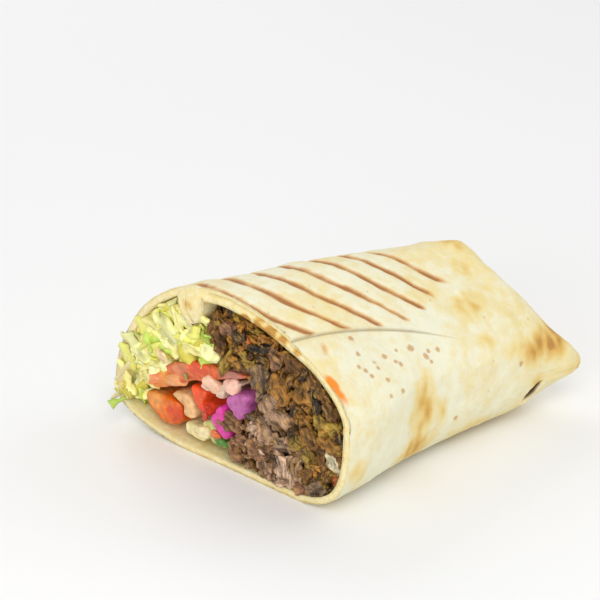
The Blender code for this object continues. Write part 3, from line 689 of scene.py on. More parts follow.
def pocket_mask(points):
    """The small open fold under the ear: how deep it is, which also sets its painted shadow, and
    where its lower lip stands up.
    """
    run = POCKET_END - POCKET_START
    along = run.normalized()
    offset = points - np.array(POCKET_START)
    share = np.clip(offset @ np.array(along) / run.length, 0, 1)
    nearest = np.array(POCKET_START) + share[..., None] * np.array(run)
    distance = np.linalg.norm(points - nearest, axis=-1)
    width = 0.4 + 0.6 * np.sin(math.pi * share) ** 0.7
    return bump(distance, width), bump(distance - 1.1, 0.6) * (points[..., 2] < nearest[..., 2])


def sauce_mask(points):
    """The smear of chilli oil on the bread behind the cut edge."""
    offset = points - np.array(SAUCE_PLACE)
    across = offset @ np.array((0.97, 0.0, 0.22))
    along = offset @ np.array((0.0, -0.7, -0.7))
    ragged = 0.5 * wobble(points, 2.2, 51)
    return step(1.35 - np.hypot(across / 1.5, along / 5.2) + ragged, 0.25, 0.85)


def grid_normals(points):
    """Normals of a grid of points that closes on itself across its columns."""
    inner = points[:, :-1]
    across = np.roll(inner, -1, axis=1) - np.roll(inner, 1, axis=1)
    along = np.gradient(inner, axis=0)
    normal = np.cross(across, along)
    normal /= np.linalg.norm(normal, axis=-1, keepdims=True) + 1e-9
    return np.concatenate([normal, normal[:, :1]], axis=1)


def inner_rows(bread):
    """Points of the sheet's inside, from its closed end to the cut edge."""
    shares = CAVITY_END * np.linspace(1, 0, INNER_ROWS) ** 1.6
    deepest = inner_row(shares[0], bread)
    middle = deepest[:-1].mean(axis=0) + (3.0, 0, 0)
    rows = [np.tile(middle, (BREAD_COLUMNS + 1, 1))]
    rows += [blend(middle, deepest, share) for share in (0.4, 0.75)]
    rows += [inner_row(t, bread) for t in shares]
    return rows + [rim_row(share, bread) for share in np.linspace(0.97, 0.03, RIM_ROWS)]


def rim_toast(rim):
    """How toasted the cut edge is: its browned places and the strip along the underside."""
    browned = 0.55 * fade(rim[..., 2], (0.4, 1.4))
    ragged = 1 + 1.2 * wobble(rim, 1.8, 61)
    for across, up, reach, strength in RIM_TOAST:
        distance = np.hypot(rim[..., 1] - across, rim[..., 2] - up)
        browned = np.maximum(browned, strength * ragged * bump(distance, reach))
    return browned


def shape_bread(bread):
    """Points of the whole sheet: inside, cut edge and outside, with masks for the material."""
    rows = inner_rows(bread)
    first_outer = len(rows)
    outer_shares = np.linspace(0, 1, OUTER_ROWS)
    outer_shares = outer_shares + 0.10 * np.sin(math.pi * outer_shares) * outer_shares
    rows += [outer_row(t, bread) for t in outer_shares]
    points = np.array(rows)
    outside = points[first_outer:]
    t = outer_shares[:, None]
    normals = grid_normals(outside)
    normals *= np.sign((normals * (outside - outside.mean(axis=1, keepdims=True))).sum()
                       / outside.size)
    grill = grill_mask(outside, t)
    cleft, lifted = pocket_mask(outside)
    relief = swelling(outside, t, bread["swell"]) - bread["groove"] * grill
    relief += 0.6 * lifted - 1.8 * cleft
    relief *= step(t, 0.0, 0.02) * 0.7 + 0.3
    closed = 1 - step(t, 0.985, 1.0)
    points[first_outer:] = outside + normals * (relief * closed)[..., None]
    points[..., 2] = np.maximum(points[..., 2], 0)
    angles = np.array([bread_angles(share) for share in outer_shares])
    # The seam mask is a thin dark line just past the overlapping edge: painted shadow of its step
    off_seam = (angles - seam_angle(t)) / DEG - 0.45
    outer_masks = {"seam": bump(off_seam, 0.38) * fade(t, (0.42, 0.66)), "grill": grill,
                   "toast": toast_mask(outside), "freckle": freckle_mask(outside),
                   # The dark mask is the pocket's painted shadow
                   "sauce": sauce_mask(outside), "dark": cleft, "crumb": 0}
    masks = {}
    for name, values in outer_masks.items():
        masks[name] = np.zeros(points.shape[:2])
        masks[name][first_outer:] = values
    masks["crumb"][:first_outer] = 1
    masks["crumb"][first_outer] = 0.5
    rim_rows = slice(first_outer - RIM_ROWS - 6, first_outer)
    masks["toast"][rim_rows] = rim_toast(points[rim_rows])
    return points, masks


def build_bread(settings):
    """The rolled flatbread as one closed sheet."""
    bread = {name: getattr(settings, name) / METRES_IN_MM
             for name in ("thickness", "seam_step", "groove", "swell")}
    points, masks = shape_bread(bread)
    row_count = len(points)
    deselect_all()
    bpy.ops.mesh.primitive_grid_add(x_subdivisions=BREAD_COLUMNS, y_subdivisions=row_count - 1,
                                    size=2)
    piece = bpy.context.object
    piece.name = "flatbread"
    places = get_points(piece)
    columns = np.rint((places[:, 0] + 1) / 2 * BREAD_COLUMNS).astype(int)
    rows = np.rint((places[:, 1] + 1) / 2 * (row_count - 1)).astype(int)
    set_points(piece, points[rows, columns])
    for name, values in masks.items():
        store(piece, name, values[rows, columns])
    edit_all(piece)
    bpy.ops.mesh.remove_doubles(threshold=0.002)
    bpy.ops.mesh.normals_make_consistent(inside=False)
    leave_edit()
    return piece


def paint_bread(settings):
    """Dry floury bread with toasted patches, grill marks and freckles, and painted shadow along the
    seam and in the pocket under the ear.
    """
    paint = Paint("flatbread")
    blotch = paint.noise(12, 3, 0.55)
    flour = paint.noise(2.6, 4, 0.62)
    grain = paint.noise(0.8, 3, 0.6)
    toast = paint.stored("toast") + (flour - 0.5) * 0.5 + (blotch - 0.5) * 0.35
    colour = paint.mix(toast.rise(0.0, 0.42), settings.ivory, settings.straw)
    colour = paint.mix(grain.rise(0.58, 0.75) * 0.3, colour, FLOUR)
    colour = paint.mix(toast.rise(0.32, 0.90) * 0.85, colour, settings.tan)
    colour = paint.mix(toast.rise(0.80, 1.30) * 0.7, colour, settings.toast)
    grill = paint.stored("grill") + (flour - 0.5) * 0.4
    colour = paint.mix(grill.rise(0.12, 0.55) * 0.75, colour, settings.halo)
    colour = paint.mix(grill.rise(0.42, 0.88) * 0.85, colour, settings.mark)
    freckle = paint.stored("freckle") + (grain - 0.5) * 0.55
    colour = paint.mix(freckle.rise(0.36, 0.70) * 0.75, colour, FRECKLE)
    specks = (1 - paint.cells(6.0).rise(0.03, 0.09)) * 0.3
    colour = paint.mix(specks, colour, settings.toast)
    # Painted shadow along the seam's step
    colour = paint.mix(paint.stored("seam") * 0.85, colour, SEAM_SHADE)
    layers = paint.noise(1.4, 2, 0.5)
    inside_colour = paint.mix(layers.rise(0.25, 0.65), CRUMB, settings.straw)
    inside_colour = paint.mix(toast.rise(0.3, 0.95) * 0.9, inside_colour, settings.tan)
    inside_colour = paint.mix(toast.rise(0.8, 1.2) * 0.6, inside_colour, settings.toast)
    colour = paint.mix(paint.stored("crumb"), colour, inside_colour)
    # Painted shadow in the pocket under the ear
    colour = paint.mix(paint.stored("dark").rise(0.15, 0.6), colour, POCKET_SHADE)
    sauce = paint.stored("sauce")
    colour = paint.mix(sauce, colour, settings.sauce)
    roughness = 0.74 - 0.16 * grill.rise(0.2, 0.8) - 0.42 * sauce + (grain - 0.5) * 0.2
    return paint.finish(colour, roughness, grain * 0.6 + flour * 0.8, 0.2,
                        Specular_IOR_Level=0.35)


class SHAWARMA_OT_bread(bpy.types.Operator):
    """Roll the flatbread with its folded end, seam, lip and grill marks"""

    bl_idname = "shawarma.bread"
    bl_label = "Roll Bread"

    def execute(self, context):
        settings = context.scene.shawarma_bread
        settle(build_bread(settings), paint_bread(settings), ["wrap"])
        return {'FINISHED'}


# Torn pieces

def torn_shape(rng, size, rings, sides, lumpy=1.0):
    """A torn piece along X: a squarish bar with lumps, creases along it and ragged blunt ends, and a
    colour factor that is painted shade in its creases and dips.
    """
    share = np.linspace(-0.985, 0.985, rings)[:, None]
    angle = np.linspace(0, 2 * math.pi, sides, endpoint=False)[None, :]
    taper = np.clip(1 - np.abs(share) ** 3, 0, 1) ** 0.45
    cosine = np.cos(angle)
    sine = np.sin(angle)
    reach = taper * (np.abs(cosine) ** 3 + np.abs(sine) ** 3) ** (-1 / 3)
    side = np.stack([0 * share * angle, reach * cosine, reach * sine], axis=-1)
    points = side * (0, size[1], size[2])
    points[..., 0] = size[0] * share
    seed = rng.randrange(90)
    lumps = wobble(points, 0.85 * size[1], seed) * lumpy
    crease = 1 - 2.6 * np.abs(wobble(points * (0.16, 1, 1), 0.42 * size[1], seed + 1))
    amount = 0.75 * (size[1] + size[2]) * 0.5
    points = points + side * (amount * (1.1 * lumps + 0.5 * lumpy * (crease - 0.5)))[..., None]
    points[..., 0] += 0.6 * size[0] * lumps * np.abs(share) ** 3
    points[..., 1] += rng.uniform(-0.3, 0.3) * size[0] * (share * share - 0.4)
    points[..., 2] += rng.uniform(-0.2, 0.2) * size[0] * np.sin(2.2 * share)
    # Colour factor per point: painted shade, darker in the creases, in the dips between the lumps and
    # at the end caps
    dark = (1 - 0.7 * lumpy * (1 - step(crease, -0.2, 0.7))) * (1.08 + 0.8 * lumps)
    caps = np.array([points[0].mean(axis=0), points[-1].mean(axis=0)])
    ring = np.arange(sides)
    after = np.roll(ring, -1)
    faces = []
    for low in range(0, (rings - 1) * sides, sides):
        faces += np.stack([low + ring, low + after, low + sides + after, low + sides + ring],
                          axis=1).tolist()
    last = (rings - 1) * sides
    faces += np.stack([after, ring, 0 * ring + rings * sides], axis=1).tolist()
    faces += np.stack([last + ring, last + after, 0 * ring + rings * sides + 1], axis=1).tolist()
    return (np.concatenate([points.reshape(-1, 3), caps]), faces,
            np.concatenate([np.ravel(dark), [0.7, 0.7]]))


def lay(rng, shape, colour, lean, roll, yaw, place, spread=0.15):
    """Turn a shape into its place: lean in the cut, roll about its length, yaw out of the cut."""
    points, faces, dark = shape
    matrix = np.eye(3)
    for angle, axis in ((CUT_BIAS, 'Z'), (lean * DEG, 'X'), ((90 + yaw) * DEG, 'Z'),
                        (roll * DEG, 'X')):
        matrix = matrix @ np.array(Matrix.Rotation(angle, 3, axis))
    grain = points * (0.22, 1, 1) + rng.uniform(0, 80)
    colours = np.array(colour) * rng.uniform(1 - spread, 1 + spread) * np.reshape(dark, (-1, 1))
    return points @ matrix.T + np.array(place), faces, grain, colours


def lay_listed(rng, settings, rows, make, ahead, yaw, spread=0.15):
    """Lay the pieces of a list in the cut: colour, across, up, lean, length, width each."""
    chunks = []
    for kind, across, up, lean, long, wide in rows:
        shape = make(kind, long, wide)
        place = on_cut(across, up, rng.uniform(*ahead))
        chunks.append(lay(rng, shape, getattr(settings, kind), lean, 90 + rng.gauss(0, 15),
                          rng.gauss(0, yaw), place, spread))
    return chunks


def scattered(outline, spacing, rng):
    """Uneven places over an outline of the cut."""
    low = np.min(outline, axis=0)
    high = np.max(outline, axis=0)
    pitch = spacing * 0.87
    places = []
    for row in range(int((high[1] - low[1]) / pitch) + 1):
        for column in range(int((high[0] - low[0]) / spacing) + 2):
            across = low[0] + spacing * (column + 0.5 * (row % 2))
            across += rng.uniform(-0.35, 0.35) * spacing
            up = low[1] + pitch * row + rng.uniform(-0.35, 0.35) * spacing
            if inside(outline, across, up):
                places.append((across, up))
    return places


# Points of a heap may stand out of the cut by up to this much, and reach this near the bread
PROUD = 1.3
CLEARANCE = 0.2
HEAP_MIDDLE = 22.0


def kept_inside(points):
    """Points held behind the cut and within the inside of the bread."""
    along, across, up = np.moveaxis(points, -1, 0)
    ahead = along + across * CUT_SLOPE
    ahead = np.where(ahead < 0, PROUD * np.tanh(ahead / PROUD), ahead)
    angle = np.linspace(0, 2 * math.pi, 361)
    wall = section(0.0, angle)
    depth = bread_depth(0.0, angle, BREAD_THICKNESS, 0) + CLEARANCE
    wall -= outward(0.0, angle) * depth[:, None]
    turn = np.arctan2(wall[:, 2] - HEAP_MIDDLE, wall[:, 1])
    order = np.argsort(turn)
    reach = np.hypot(wall[:, 1], wall[:, 2] - HEAP_MIDDLE)[order]
    rise = up - HEAP_MIDDLE
    own_turn = np.arctan2(rise, across)
    own_reach = np.hypot(across, rise) + 1e-9
    limit = np.interp(own_turn, turn[order], reach, period=2 * math.pi)
    limit = limit * (1 - 0.003 * np.clip(ahead, 0, 20))
    share = np.minimum(1, limit / own_reach)
    across = across * share
    return np.stack([ahead - across * CUT_SLOPE, across, HEAP_MIDDLE + rise * share], axis=-1)


# Meat

class ShawarmaMeatSettings(bpy.types.PropertyGroup):
    """Sizes and colours of the shaved meat."""

    spacing: length_property("Spacing", "Distance between torn pieces", 2.9)
    brown: colour_property("Brown", "Crisp outside of the roast", (0.175, 0.073, 0.010))
    amber: colour_property("Amber", "Basted edges", (0.410, 0.180, 0.024))
    mauve: colour_property("Mauve", "Sliced inside of the roast", (0.430, 0.262, 0.155))
    pale: colour_property("Pale", "Palest slices", (0.640, 0.430, 0.285))
    rose: colour_property("Rose", "Moist dark slices", (0.310, 0.150, 0.075))
    dusky: colour_property("Dusky", "Grey slices", (0.200, 0.128, 0.075))
    olive: colour_property("Olive", "Spiced fat", (0.350, 0.228, 0.030))
    orange: colour_property("Orange", "Oily crumbs", (0.515, 0.135, 0.025))
    fat: colour_property("Fat", "White fat", (0.610, 0.560, 0.370))
    # Near-black: charred edges, and painted shadow in the slits between pieces and on the meat's core
    char: colour_property("Char", "Charred edges", (0.030, 0.018, 0.008))


MEAT_OUTLINE = [(-7.0, 2.7), (-3.3, 4.3), (-2.0, 7.1), (-3.3, 9.9), (-2.2, 12.7), (-2.0, 14.7),
                (-5.4, 14.7), (-8.7, 16.9), (-9.3, 20.5), (-10.3, 23.5), (-9.6, 26.7),
                (-9.4, 30.3), (-4.0, 30.9), (0.6, 30.7), (2.6, 33.1), (3.8, 35.7), (4.9, 37.3),
                (5.0, 42.5), (-1.5, 44.4), (-9.0, 43.9), (-16.0, 42.2), (-22.0, 40.2),
                (-28.5, 36.8), (-33.5, 32.4), (-36.9, 27.0), (-38.4, 20.5), (-37.6, 13.0),
                (-34.5, 7.2), (-29.0, 3.6), (-22.0, 1.9), (-14.0, 1.6)]
MAUVE_ZONE = [(-8.0, 17.0), (-9.5, 28.4), (-12.0, 33.0), (-17.0, 31.6), (-20.4, 27.0),
              (-23.0, 19.6), (-27.0, 12.8), (-28.5, 5.0), (-21.0, 1.0), (-12.0, 1.2),
              (-2.0, 3.0), (-1.0, 14.0)]
MEAT_CORE_START = 3.4
MEAT_CORE_GAP = 0.3

# Layers of small pieces: how far behind the cut they lie and how close together
MEAT_LAYERS = ((3.5, 1.0), (2.3, 0.86))
FIBRE_SHADE = (0.30, 0.22, 0.20)
# Painted shade in the creases of the meat
CREASE_SHADE = (0.28, 0.17, 0.12)
# Lighter golden streaks along the fibres, partly painted highlight
BASTING = (0.60, 0.33, 0.07)
# Lighter flecks, partly painted highlight
SPICE = (0.70, 0.43, 0.11)
MAUVE_MIX = ("mauve", "mauve", "pale", "rose", "rose", "dusky", "brown")
BROWN_MIX = ("brown", "brown", "amber", "amber", "amber", "olive", "olive", "brown", "char")

# The near-black pieces are partly charred meat and partly painted shadow in the slits between the
# others
# The largest pieces at the cut: colour, across, up, lean in degrees, length, width
MEAT_PIECES = [
    ("mauve", -17, 22.5, 53, 10, 5.5), ("dusky", -13, 23, 52, 3.5, 3.5),
    ("pale", -19.5, 13.5, 4, 6.5, 4.5), ("pale", -20.5, 7, 88, 8, 5),
    ("mauve", -24.5, 10.5, 84, 7, 2), ("mauve", -14, 16, 33, 6, 4.5),
    ("pale", -9.5, 15.5, 55, 2.5, 2.5), ("rose", -10.5, 9, 14, 6, 4.5),
    ("mauve", -12.5, 4.5, 79, 5.5, 2), ("mauve", -15, 4, 80, 4, 2),
    ("rose", -5, 9, 5, 4.5, 2.5), ("rose", -1.5, 13.5, 26, 5.5, 4),
    ("rose", -3, 6, 48, 5.5, 4), ("rose", -25, 4, 169, 5, 3.5),
    ("dusky", -30.5, 6, 172, 4, 3.5), ("pale", -20, 3.5, 168, 5.5, 2),
    ("dusky", -11.5, 30.5, 64, 5, 5), ("amber", -18.5, 30, 54, 7, 4.5),
    ("amber", -26, 31.5, 57, 6, 5), ("char", -29, 31.5, 95, 9, 1.5),
    ("rose", -17.5, 38, 23, 4, 4), ("char", -11.5, 39, 174, 8, 3),
    ("char", -12.5, 36, 20, 2.5, 2.5), ("char", -26, 36.5, 134, 5, 1.5),
    ("brown", -23.5, 38.5, 43, 5.5, 3.5), ("brown", -18, 35.5, 170, 5.5, 1.5),
    ("olive", -32.5, 24.5, 24, 6, 4.5), ("olive", -24, 17, 21, 3.5, 3),
    ("amber", -36, 20, 36, 4, 3.5), ("fat", -35.5, 15, 60, 5, 3.5),
    ("orange", -36.5, 10.5, 78, 3.5, 2), ("char", -22.5, 19, 8, 2, 1.5),
    ("char", -17, 9, 15, 3.5, 2.5), ("char", -10.5, 13.5, 3, 2.5, 1),
    ("char", -3.5, 9.5, 177, 2, 1), ("brown", 3.5, 36.5, 59, 3.5, 2.5),
    ("rose", -2.5, 41, 32, 3.5, 2.5), ("char", -6, 40.5, 16, 3.5, 2.5),
    ("brown", 1.5, 36, 68, 6, 3), ("orange", -8, 39.5, 37, 2, 2),
    ("olive", -8, 33.5, 4, 5, 2.5), ("amber", -4, 32, 15, 4.5, 2),
    ("char", -37.5, 22, 80, 4, 1.5), ("brown", -28, 37.5, 40, 7, 2.5),
    ("brown", -32.5, 33, 62, 4.5, 2.5), ("brown", -34, 29.5, 55, 5, 3),
    ("brown", -23, 27, 174, 5, 2), ("amber", -25.5, 24.5, 178, 6, 2.5),
    ("brown", -28.5, 20, 47, 5.5, 3.5), ("brown", -31.5, 16, 70, 6.5, 3),
    ("olive", -28, 12, 78, 7.5, 3), ("brown", -26.5, 8, 48, 3.5, 3.5),
    ("brown", -33, 12, 77, 5, 2.5)]


def meat_shreds(settings, rng):
    """Torn pieces over the whole heap, crisp and brown by the bread, paler in the middle."""
    chunks = []
    for ahead, share in MEAT_LAYERS:
        spacing = settings.spacing / METRES_IN_MM * share
        for across, up in scattered(MEAT_OUTLINE, spacing, rng):
            pale = inside(MAUVE_ZONE, across, up)
            long = min(4.6, 1.3 + rng.expovariate(0.9)) * (0.7 + 0.3 * share)
            wide = rng.uniform(0.8, 1.5) * (0.5 + 0.18 * long)
            shape = torn_shape(rng, (long, wide, wide * rng.uniform(0.6, 0.9)), 11, 16)
            lean = rng.gauss(70, 25) if pale else rng.gauss(60, 40)
            colour = getattr(settings, rng.choice(MAUVE_MIX if pale else BROWN_MIX))
            place = on_cut(across, up, ahead + rng.uniform(-1.2, 1.2))
            chunks.append(lay(rng, shape, colour, lean, rng.uniform(0, 360), rng.gauss(0, 25),
                              place, 0.4))
    return chunks


def meat_slices(settings, rng):
    """The largest slices, lumps and charred bits."""
    def slice_shape(_, long, wide):
        return torn_shape(rng, (long * 0.62, wide * 0.60, 0.6 + wide * 0.24), 25, 28)

    return lay_listed(rng, settings, MEAT_PIECES, slice_shape, (0.5, 1.9), 12, 0.2)


def node_core(node, name, ahead, draw_in):
    """The heap's own core: the solid trimmed behind the cut, remeshed and drawn in a little."""
    piece = copy_of_node(node, name)
    edit_all(piece)
    normal = (math.cos(CUT_BIAS), math.sin(CUT_BIAS), 0)
    bpy.ops.mesh.bisect(plane_co=(ahead, 0, 0), plane_no=normal, use_fill=True,
                        clear_inner=True)
    leave_edit()
    apply_modifier(piece, 'REMESH', mode='VOXEL', voxel_size=0.8)
    apply_modifier(piece, 'SMOOTH', factor=0.5, iterations=4)
    points = get_points(piece)
    rough = 0.35 * wobble(points, 1.6, 61) + 0.25 * wobble(points, 3.5, 62)
    set_points(piece, points + get_normals(piece) * (rough - draw_in)[:, None])
    return piece


def paint_meat():
    """Moist roast meat: each piece's own colour, streaked along its fibres, with painted shade in its
    creases and painted highlights on its lighter streaks and flecks.
    """
    paint = Paint("meat")
    grain = paint.stored("grain", "Vector")
    fibre = paint.noise(0.6, 3, 0.6, place=grain)
    streak = paint.noise(1.3, 3, 0.6, place=grain)
    mottle = paint.noise(1.5, 4, 0.65)
    fine = paint.noise(0.35, 3, 0.6)
    colour = paint.mix((1 - fibre.rise(0.36, 0.54)) * 0.75, paint.stored("shade", "Color"),
                       FIBRE_SHADE, 'MULTIPLY')
    # Lighter streaks: partly fibre colour, partly painted highlight
    colour = paint.mix(streak.rise(0.50, 0.68) * 0.5, colour, BASTING)
    # Painted crease shade over the dips of the mottling
    colour = paint.mix((1 - mottle.rise(0.28, 0.46)) * 0.6, colour, CREASE_SHADE, 'MULTIPLY')
    # Lighter flecks: partly painted highlight
    colour = paint.mix(fine.rise(0.58, 0.74) * 0.45, colour, SPICE)
    roughness = 0.40 + 0.35 * mottle
    return paint.finish(colour, roughness, fibre * 0.8 + fine * 0.5 + mottle * 0.5, 0.3,
                        Specular_IOR_Level=0.35, Coat_Weight=0.06, Coat_Roughness=0.2)


def paint_core(name, light, dark):
    """Inside of a heap, seen in the gaps between the pieces in front: mottled between a lighter and a
    darker colour, the darker one painted shade in the gaps.
    """
    paint = Paint(name)
    mottle = paint.noise(2.0, 4, 0.6)
    colour = paint.mix(mottle.rise(0.35, 0.7), dark, light)
    return paint.finish(colour, 0.6, mottle, 0.4)


class SHAWARMA_OT_meat(bpy.types.Operator):
    """Pack the shaved meat on the near side of the roll"""

    bl_idname = "shawarma.meat"
    bl_label = "Pack Meat"

    def execute(self, context):
        settings = context.scene.shawarma_meat
        rng = random.Random(MEAT_SEED)
        core = node_core("meat", "meat_core", MEAT_CORE_START, MEAT_CORE_GAP)
        # The meat's core is dusky and near-black: painted shadow in the gaps between the pieces
        settle(core, paint_core("meat_core", settings.dusky, settings.char), ["meat"])
        material = paint_meat()
        for name, make in (("meat_shreds", meat_shreds), ("meat_slices", meat_slices)):
            settle_chunks(name, make(settings, rng), material, ["meat"])
        return {'FINISHED'}


# Leaf

class ShawarmaLeafSettings(bpy.types.PropertyGroup):
    """Sizes and colours of the shredded leaf."""

    spacing: length_property("Spacing", "Distance between shreds", 3.1)
    leaf_thickness: length_property("Thickness", "Thickness of a leaf", 0.45)
    white: colour_property("White", "White ribs", (0.86, 0.85, 0.40))
    cream: colour_property("Cream", "Creamy ribs", (0.90, 0.82, 0.32))
    pale: colour_property("Pale", "Blanched leaf", (0.86, 0.84, 0.21))
    lime: colour_property("Lime", "Fresh green leaf", (0.60, 0.78, 0.13))
    green: colour_property("Green", "Green edges", (0.40, 0.50, 0.05))
    olive: colour_property("Olive", "Yellowed edges", (0.62, 0.55, 0.07))
    gold: colour_property("Gold", "Oiled leaf", (0.80, 0.62, 0.13))
    blush: colour_property("Blush", "Ribs stained by tomato", (0.81, 0.58, 0.32))


LEAF_OUTLINE = [(9.9, 45.0), (9.4, 38.6), (5.8, 36.9), (4.6, 35.3), (3.4, 32.5), (2.4, 30.5),
                (5.0, 30.0), (8.0, 29.4), (12.0, 28.1), (16.0, 26.4), (20.0, 24.4),
                (24.0, 21.9), (26.4, 18.5), (27.4, 16.0), (30.8, 13.5), (30.9, 11.1),
                (30.2, 8.9), (29.0, 7.5), (31.0, 6.5), (34.4, 10.0), (35.0, 16.0),
                (34.0, 22.0), (31.5, 28.5), (27.5, 34.6), (21.5, 40.0), (15.0, 43.4)]
LEAF_CORE_START = 3.2
LEAF_CORE_GAP = 0.2
LEAF_LAYERS = ((3.2, 1.2), (2.5, 1.1), (1.8, 1.1))
TORN_LEAF = (0.83, 0.74, 0.46)
HANGING_SHRED = (0.42, 0.60, 0.09)
EDGE_THICKNESS = 0.6
LEAF_MIX = ("white", "cream", "pale", "pale", "lime", "cream", "pale", "olive")

# The largest shreds at the cut: colour, across, up, lean in degrees, length, width
LEAF_PIECES = [
    ("white", 20, 33, 38, 8.5, 6.5), ("cream", 15, 35.5, 83, 11.5, 3),
    ("pale", 10, 37, 179, 6.5, 2.5), ("pale", 10.5, 33.5, 15, 5.5, 3.5),
    ("pale", 26.5, 27.5, 59, 7, 4), ("olive", 17.5, 37.5, 70, 3.5, 2.5),
    ("olive", 21.5, 38, 147, 7, 2), ("olive", 13.5, 42.5, 169, 4.5, 1.5),
    ("gold", 27, 31, 147, 6, 2), ("white", 32.5, 21.5, 64, 6, 3.5),
    ("blush", 22.5, 25, 172, 8.5, 2.5), ("green", 17.5, 26.5, 3, 3, 1.5),
    ("cream", 26.5, 20, 151, 8, 2), ("lime", 19, 28.5, 3, 6.5, 3),
    ("cream", 10.5, 30, 172, 8, 2.5), ("white", 4, 32, 15, 6, 3.5),
    ("green", 6.5, 35, 31, 3.5, 2.5), ("gold", 30, 19, 26, 2.5, 2),
    ("olive", 32, 11, 142, 8, 3), ("cream", 27.5, 17, 15, 4.5, 3),
    ("gold", 25, 17.5, 56, 3, 2), ("pale", 20.5, 36, 12, 5.5, 3),
    ("pale", 23.5, 36, 147, 7.5, 2), ("white", 28, 23.5, 39, 5.5, 3.5),
    ("pale", 19.5, 31, 16, 6, 3.5), ("cream", 7, 40.5, 178, 5, 2.5)]

# Shreds over the edge of the bread: colour, across, up, lean, length, width, place along
EDGE_PIECES = [("cream", 34, 15, 82, 9, 4.5, -1.2), ("pale", 33, 20.5, 72, 8, 4.5, -0.8),
               ("cream", 33, 11.5, 30, 6, 3.5, -1.6), ("white", 31.5, 25, 62, 7, 4.5, -0.4),
               ("gold", 34, 12, 110, 4, 2.5, -2.2), ("olive", 33.2, 10.2, 15, 5, 2.5, -2.0),
               ("cream", 14, 39, 20, 7, 4, 0.4), ("pale", 27, 30.5, 52, 7, 4.5, 0.2)]


def sheet_shape(points, thickness):
    """A thin closed leaf from a grid of points, with its faces and slightly darker edges."""
    rows, columns = points.shape[:2]
    normal = np.cross(np.gradient(points, axis=0), np.gradient(points, axis=1))
    normal /= np.linalg.norm(normal, axis=-1, keepdims=True) + 1e-9
    thick = np.full((rows, columns, 1), thickness / 2)
    thick[[0, -1]] *= 0.4
    thick[:, [0, -1]] *= 0.4
    both = np.concatenate([(points + normal * thick).reshape(-1, 3),
                           (points - normal * thick).reshape(-1, 3)])
    count = rows * columns
    faces = []
    for row in range(rows - 1):
        for column in range(columns - 1):
            corner = row * columns + column
            ring = (corner, corner + 1, corner + columns + 1, corner + columns)
            faces.append(ring)
            faces.append(tuple(count + vertex for vertex in reversed(ring)))
    border = list(range(columns))
    border += [row * columns + columns - 1 for row in range(1, rows)]
    border += [count - 1 - column for column in range(1, columns)]
    border += [(rows - 1 - row) * columns for row in range(1, rows - 1)]
    for first, second in zip(border, border[1:] + border[:1]):
        faces.append((second, first, count + first, count + second))
    side = np.abs(np.linspace(-1, 1, columns))[None, :] + np.zeros((rows, 1))
    return both, faces, np.tile(np.ravel(1.08 - 0.22 * side ** 2), 2)


def shred_grid(rng, long, wide, ruffle, curl):
    """Points of a wavy shred of leaf along X, its torn outline uneven."""
    rows = 19
    columns = 7
    share = np.linspace(-1, 1, rows)[:, None]
    side = np.linspace(-1, 1, columns)[None, :]
    phase = rng.uniform(0, 6)
    heading = curl * share + 0.15 * np.sin(3 * share + phase)
    x = np.cumsum(np.cos(heading), axis=0) * long * 2 / rows
    z = np.cumsum(np.sin(heading), axis=0) * long * 2 / rows
    ragged = 0.15 * np.sin(5 * share + phase) + 0.06 * np.sin(13 * share + 2 * phase)
    narrow = wide * (1 - 0.96 * share ** 6) ** 0.5 * (1 + ragged * np.sign(side))
    x = x - x.mean() + 0.25 * wide * np.sin(3 * side + phase) * np.abs(share) ** 3
    wave = ruffle * np.abs(side) * np.sin(5 * share + phase + 1.6 * np.sign(side))
    bulge = 0.35 * wide * side * side
    return np.stack([x, narrow * side, z - z.mean() + wave + bulge], axis=-1)


def shred_shape(rng, kind, long, wide, thickness):
    """A crisp rib or a thin wavy piece of leaf."""
    if kind in ("white", "cream", "blush"):
        return torn_shape(rng, (long, wide, 0.35 + 0.22 * wide), 15, 16, 0.45)
    grid = shred_grid(rng, long, wide, rng.uniform(0.15, 0.5), rng.uniform(-0.7, 0.7))
    return sheet_shape(grid, thickness)


def leaf_shreds(settings, rng):
    """Shreds of leaf piled over the heap at the cut, and the largest ones in front."""
    chunks = []
    thickness = settings.leaf_thickness / METRES_IN_MM
    for ahead, share in LEAF_LAYERS:
        for across, up in scattered(LEAF_OUTLINE, settings.spacing / METRES_IN_MM * share, rng):
            kind = rng.choice(LEAF_MIX)
            shape = shred_shape(rng, kind, rng.uniform(2.6, 4.8), rng.uniform(1.5, 2.9),
                                thickness)
            place = on_cut(across, up, ahead + rng.uniform(-0.6, 0.6))
            chunks.append(lay(rng, shape, getattr(settings, kind), rng.uniform(0, 180),
                              90 + rng.gauss(0, 35), rng.gauss(0, 20), place))

    def large_shape(kind, long, wide):
        return shred_shape(rng, kind, long * 0.6, wide * 0.62, thickness)

    return chunks + lay_listed(rng, settings, LEAF_PIECES, large_shape, (0.6, 1.4), 8)


def flat_grid(along, across, up):
    """A grid of points ahead of the cut from three broadcast arrays."""
    along, across, up = np.broadcast_arrays(along, across, up)
    return np.stack([along - across * CUT_SLOPE, across, up], axis=-1)


def wavy_leaf(grid, settings, colour):
    """A thin leaf from a grid of points, in one colour."""
    points, faces, dark = sheet_shape(grid, settings.leaf_thickness / METRES_IN_MM * 1.5)
    return points, faces, points, np.array(colour) * np.reshape(dark, (-1, 1))


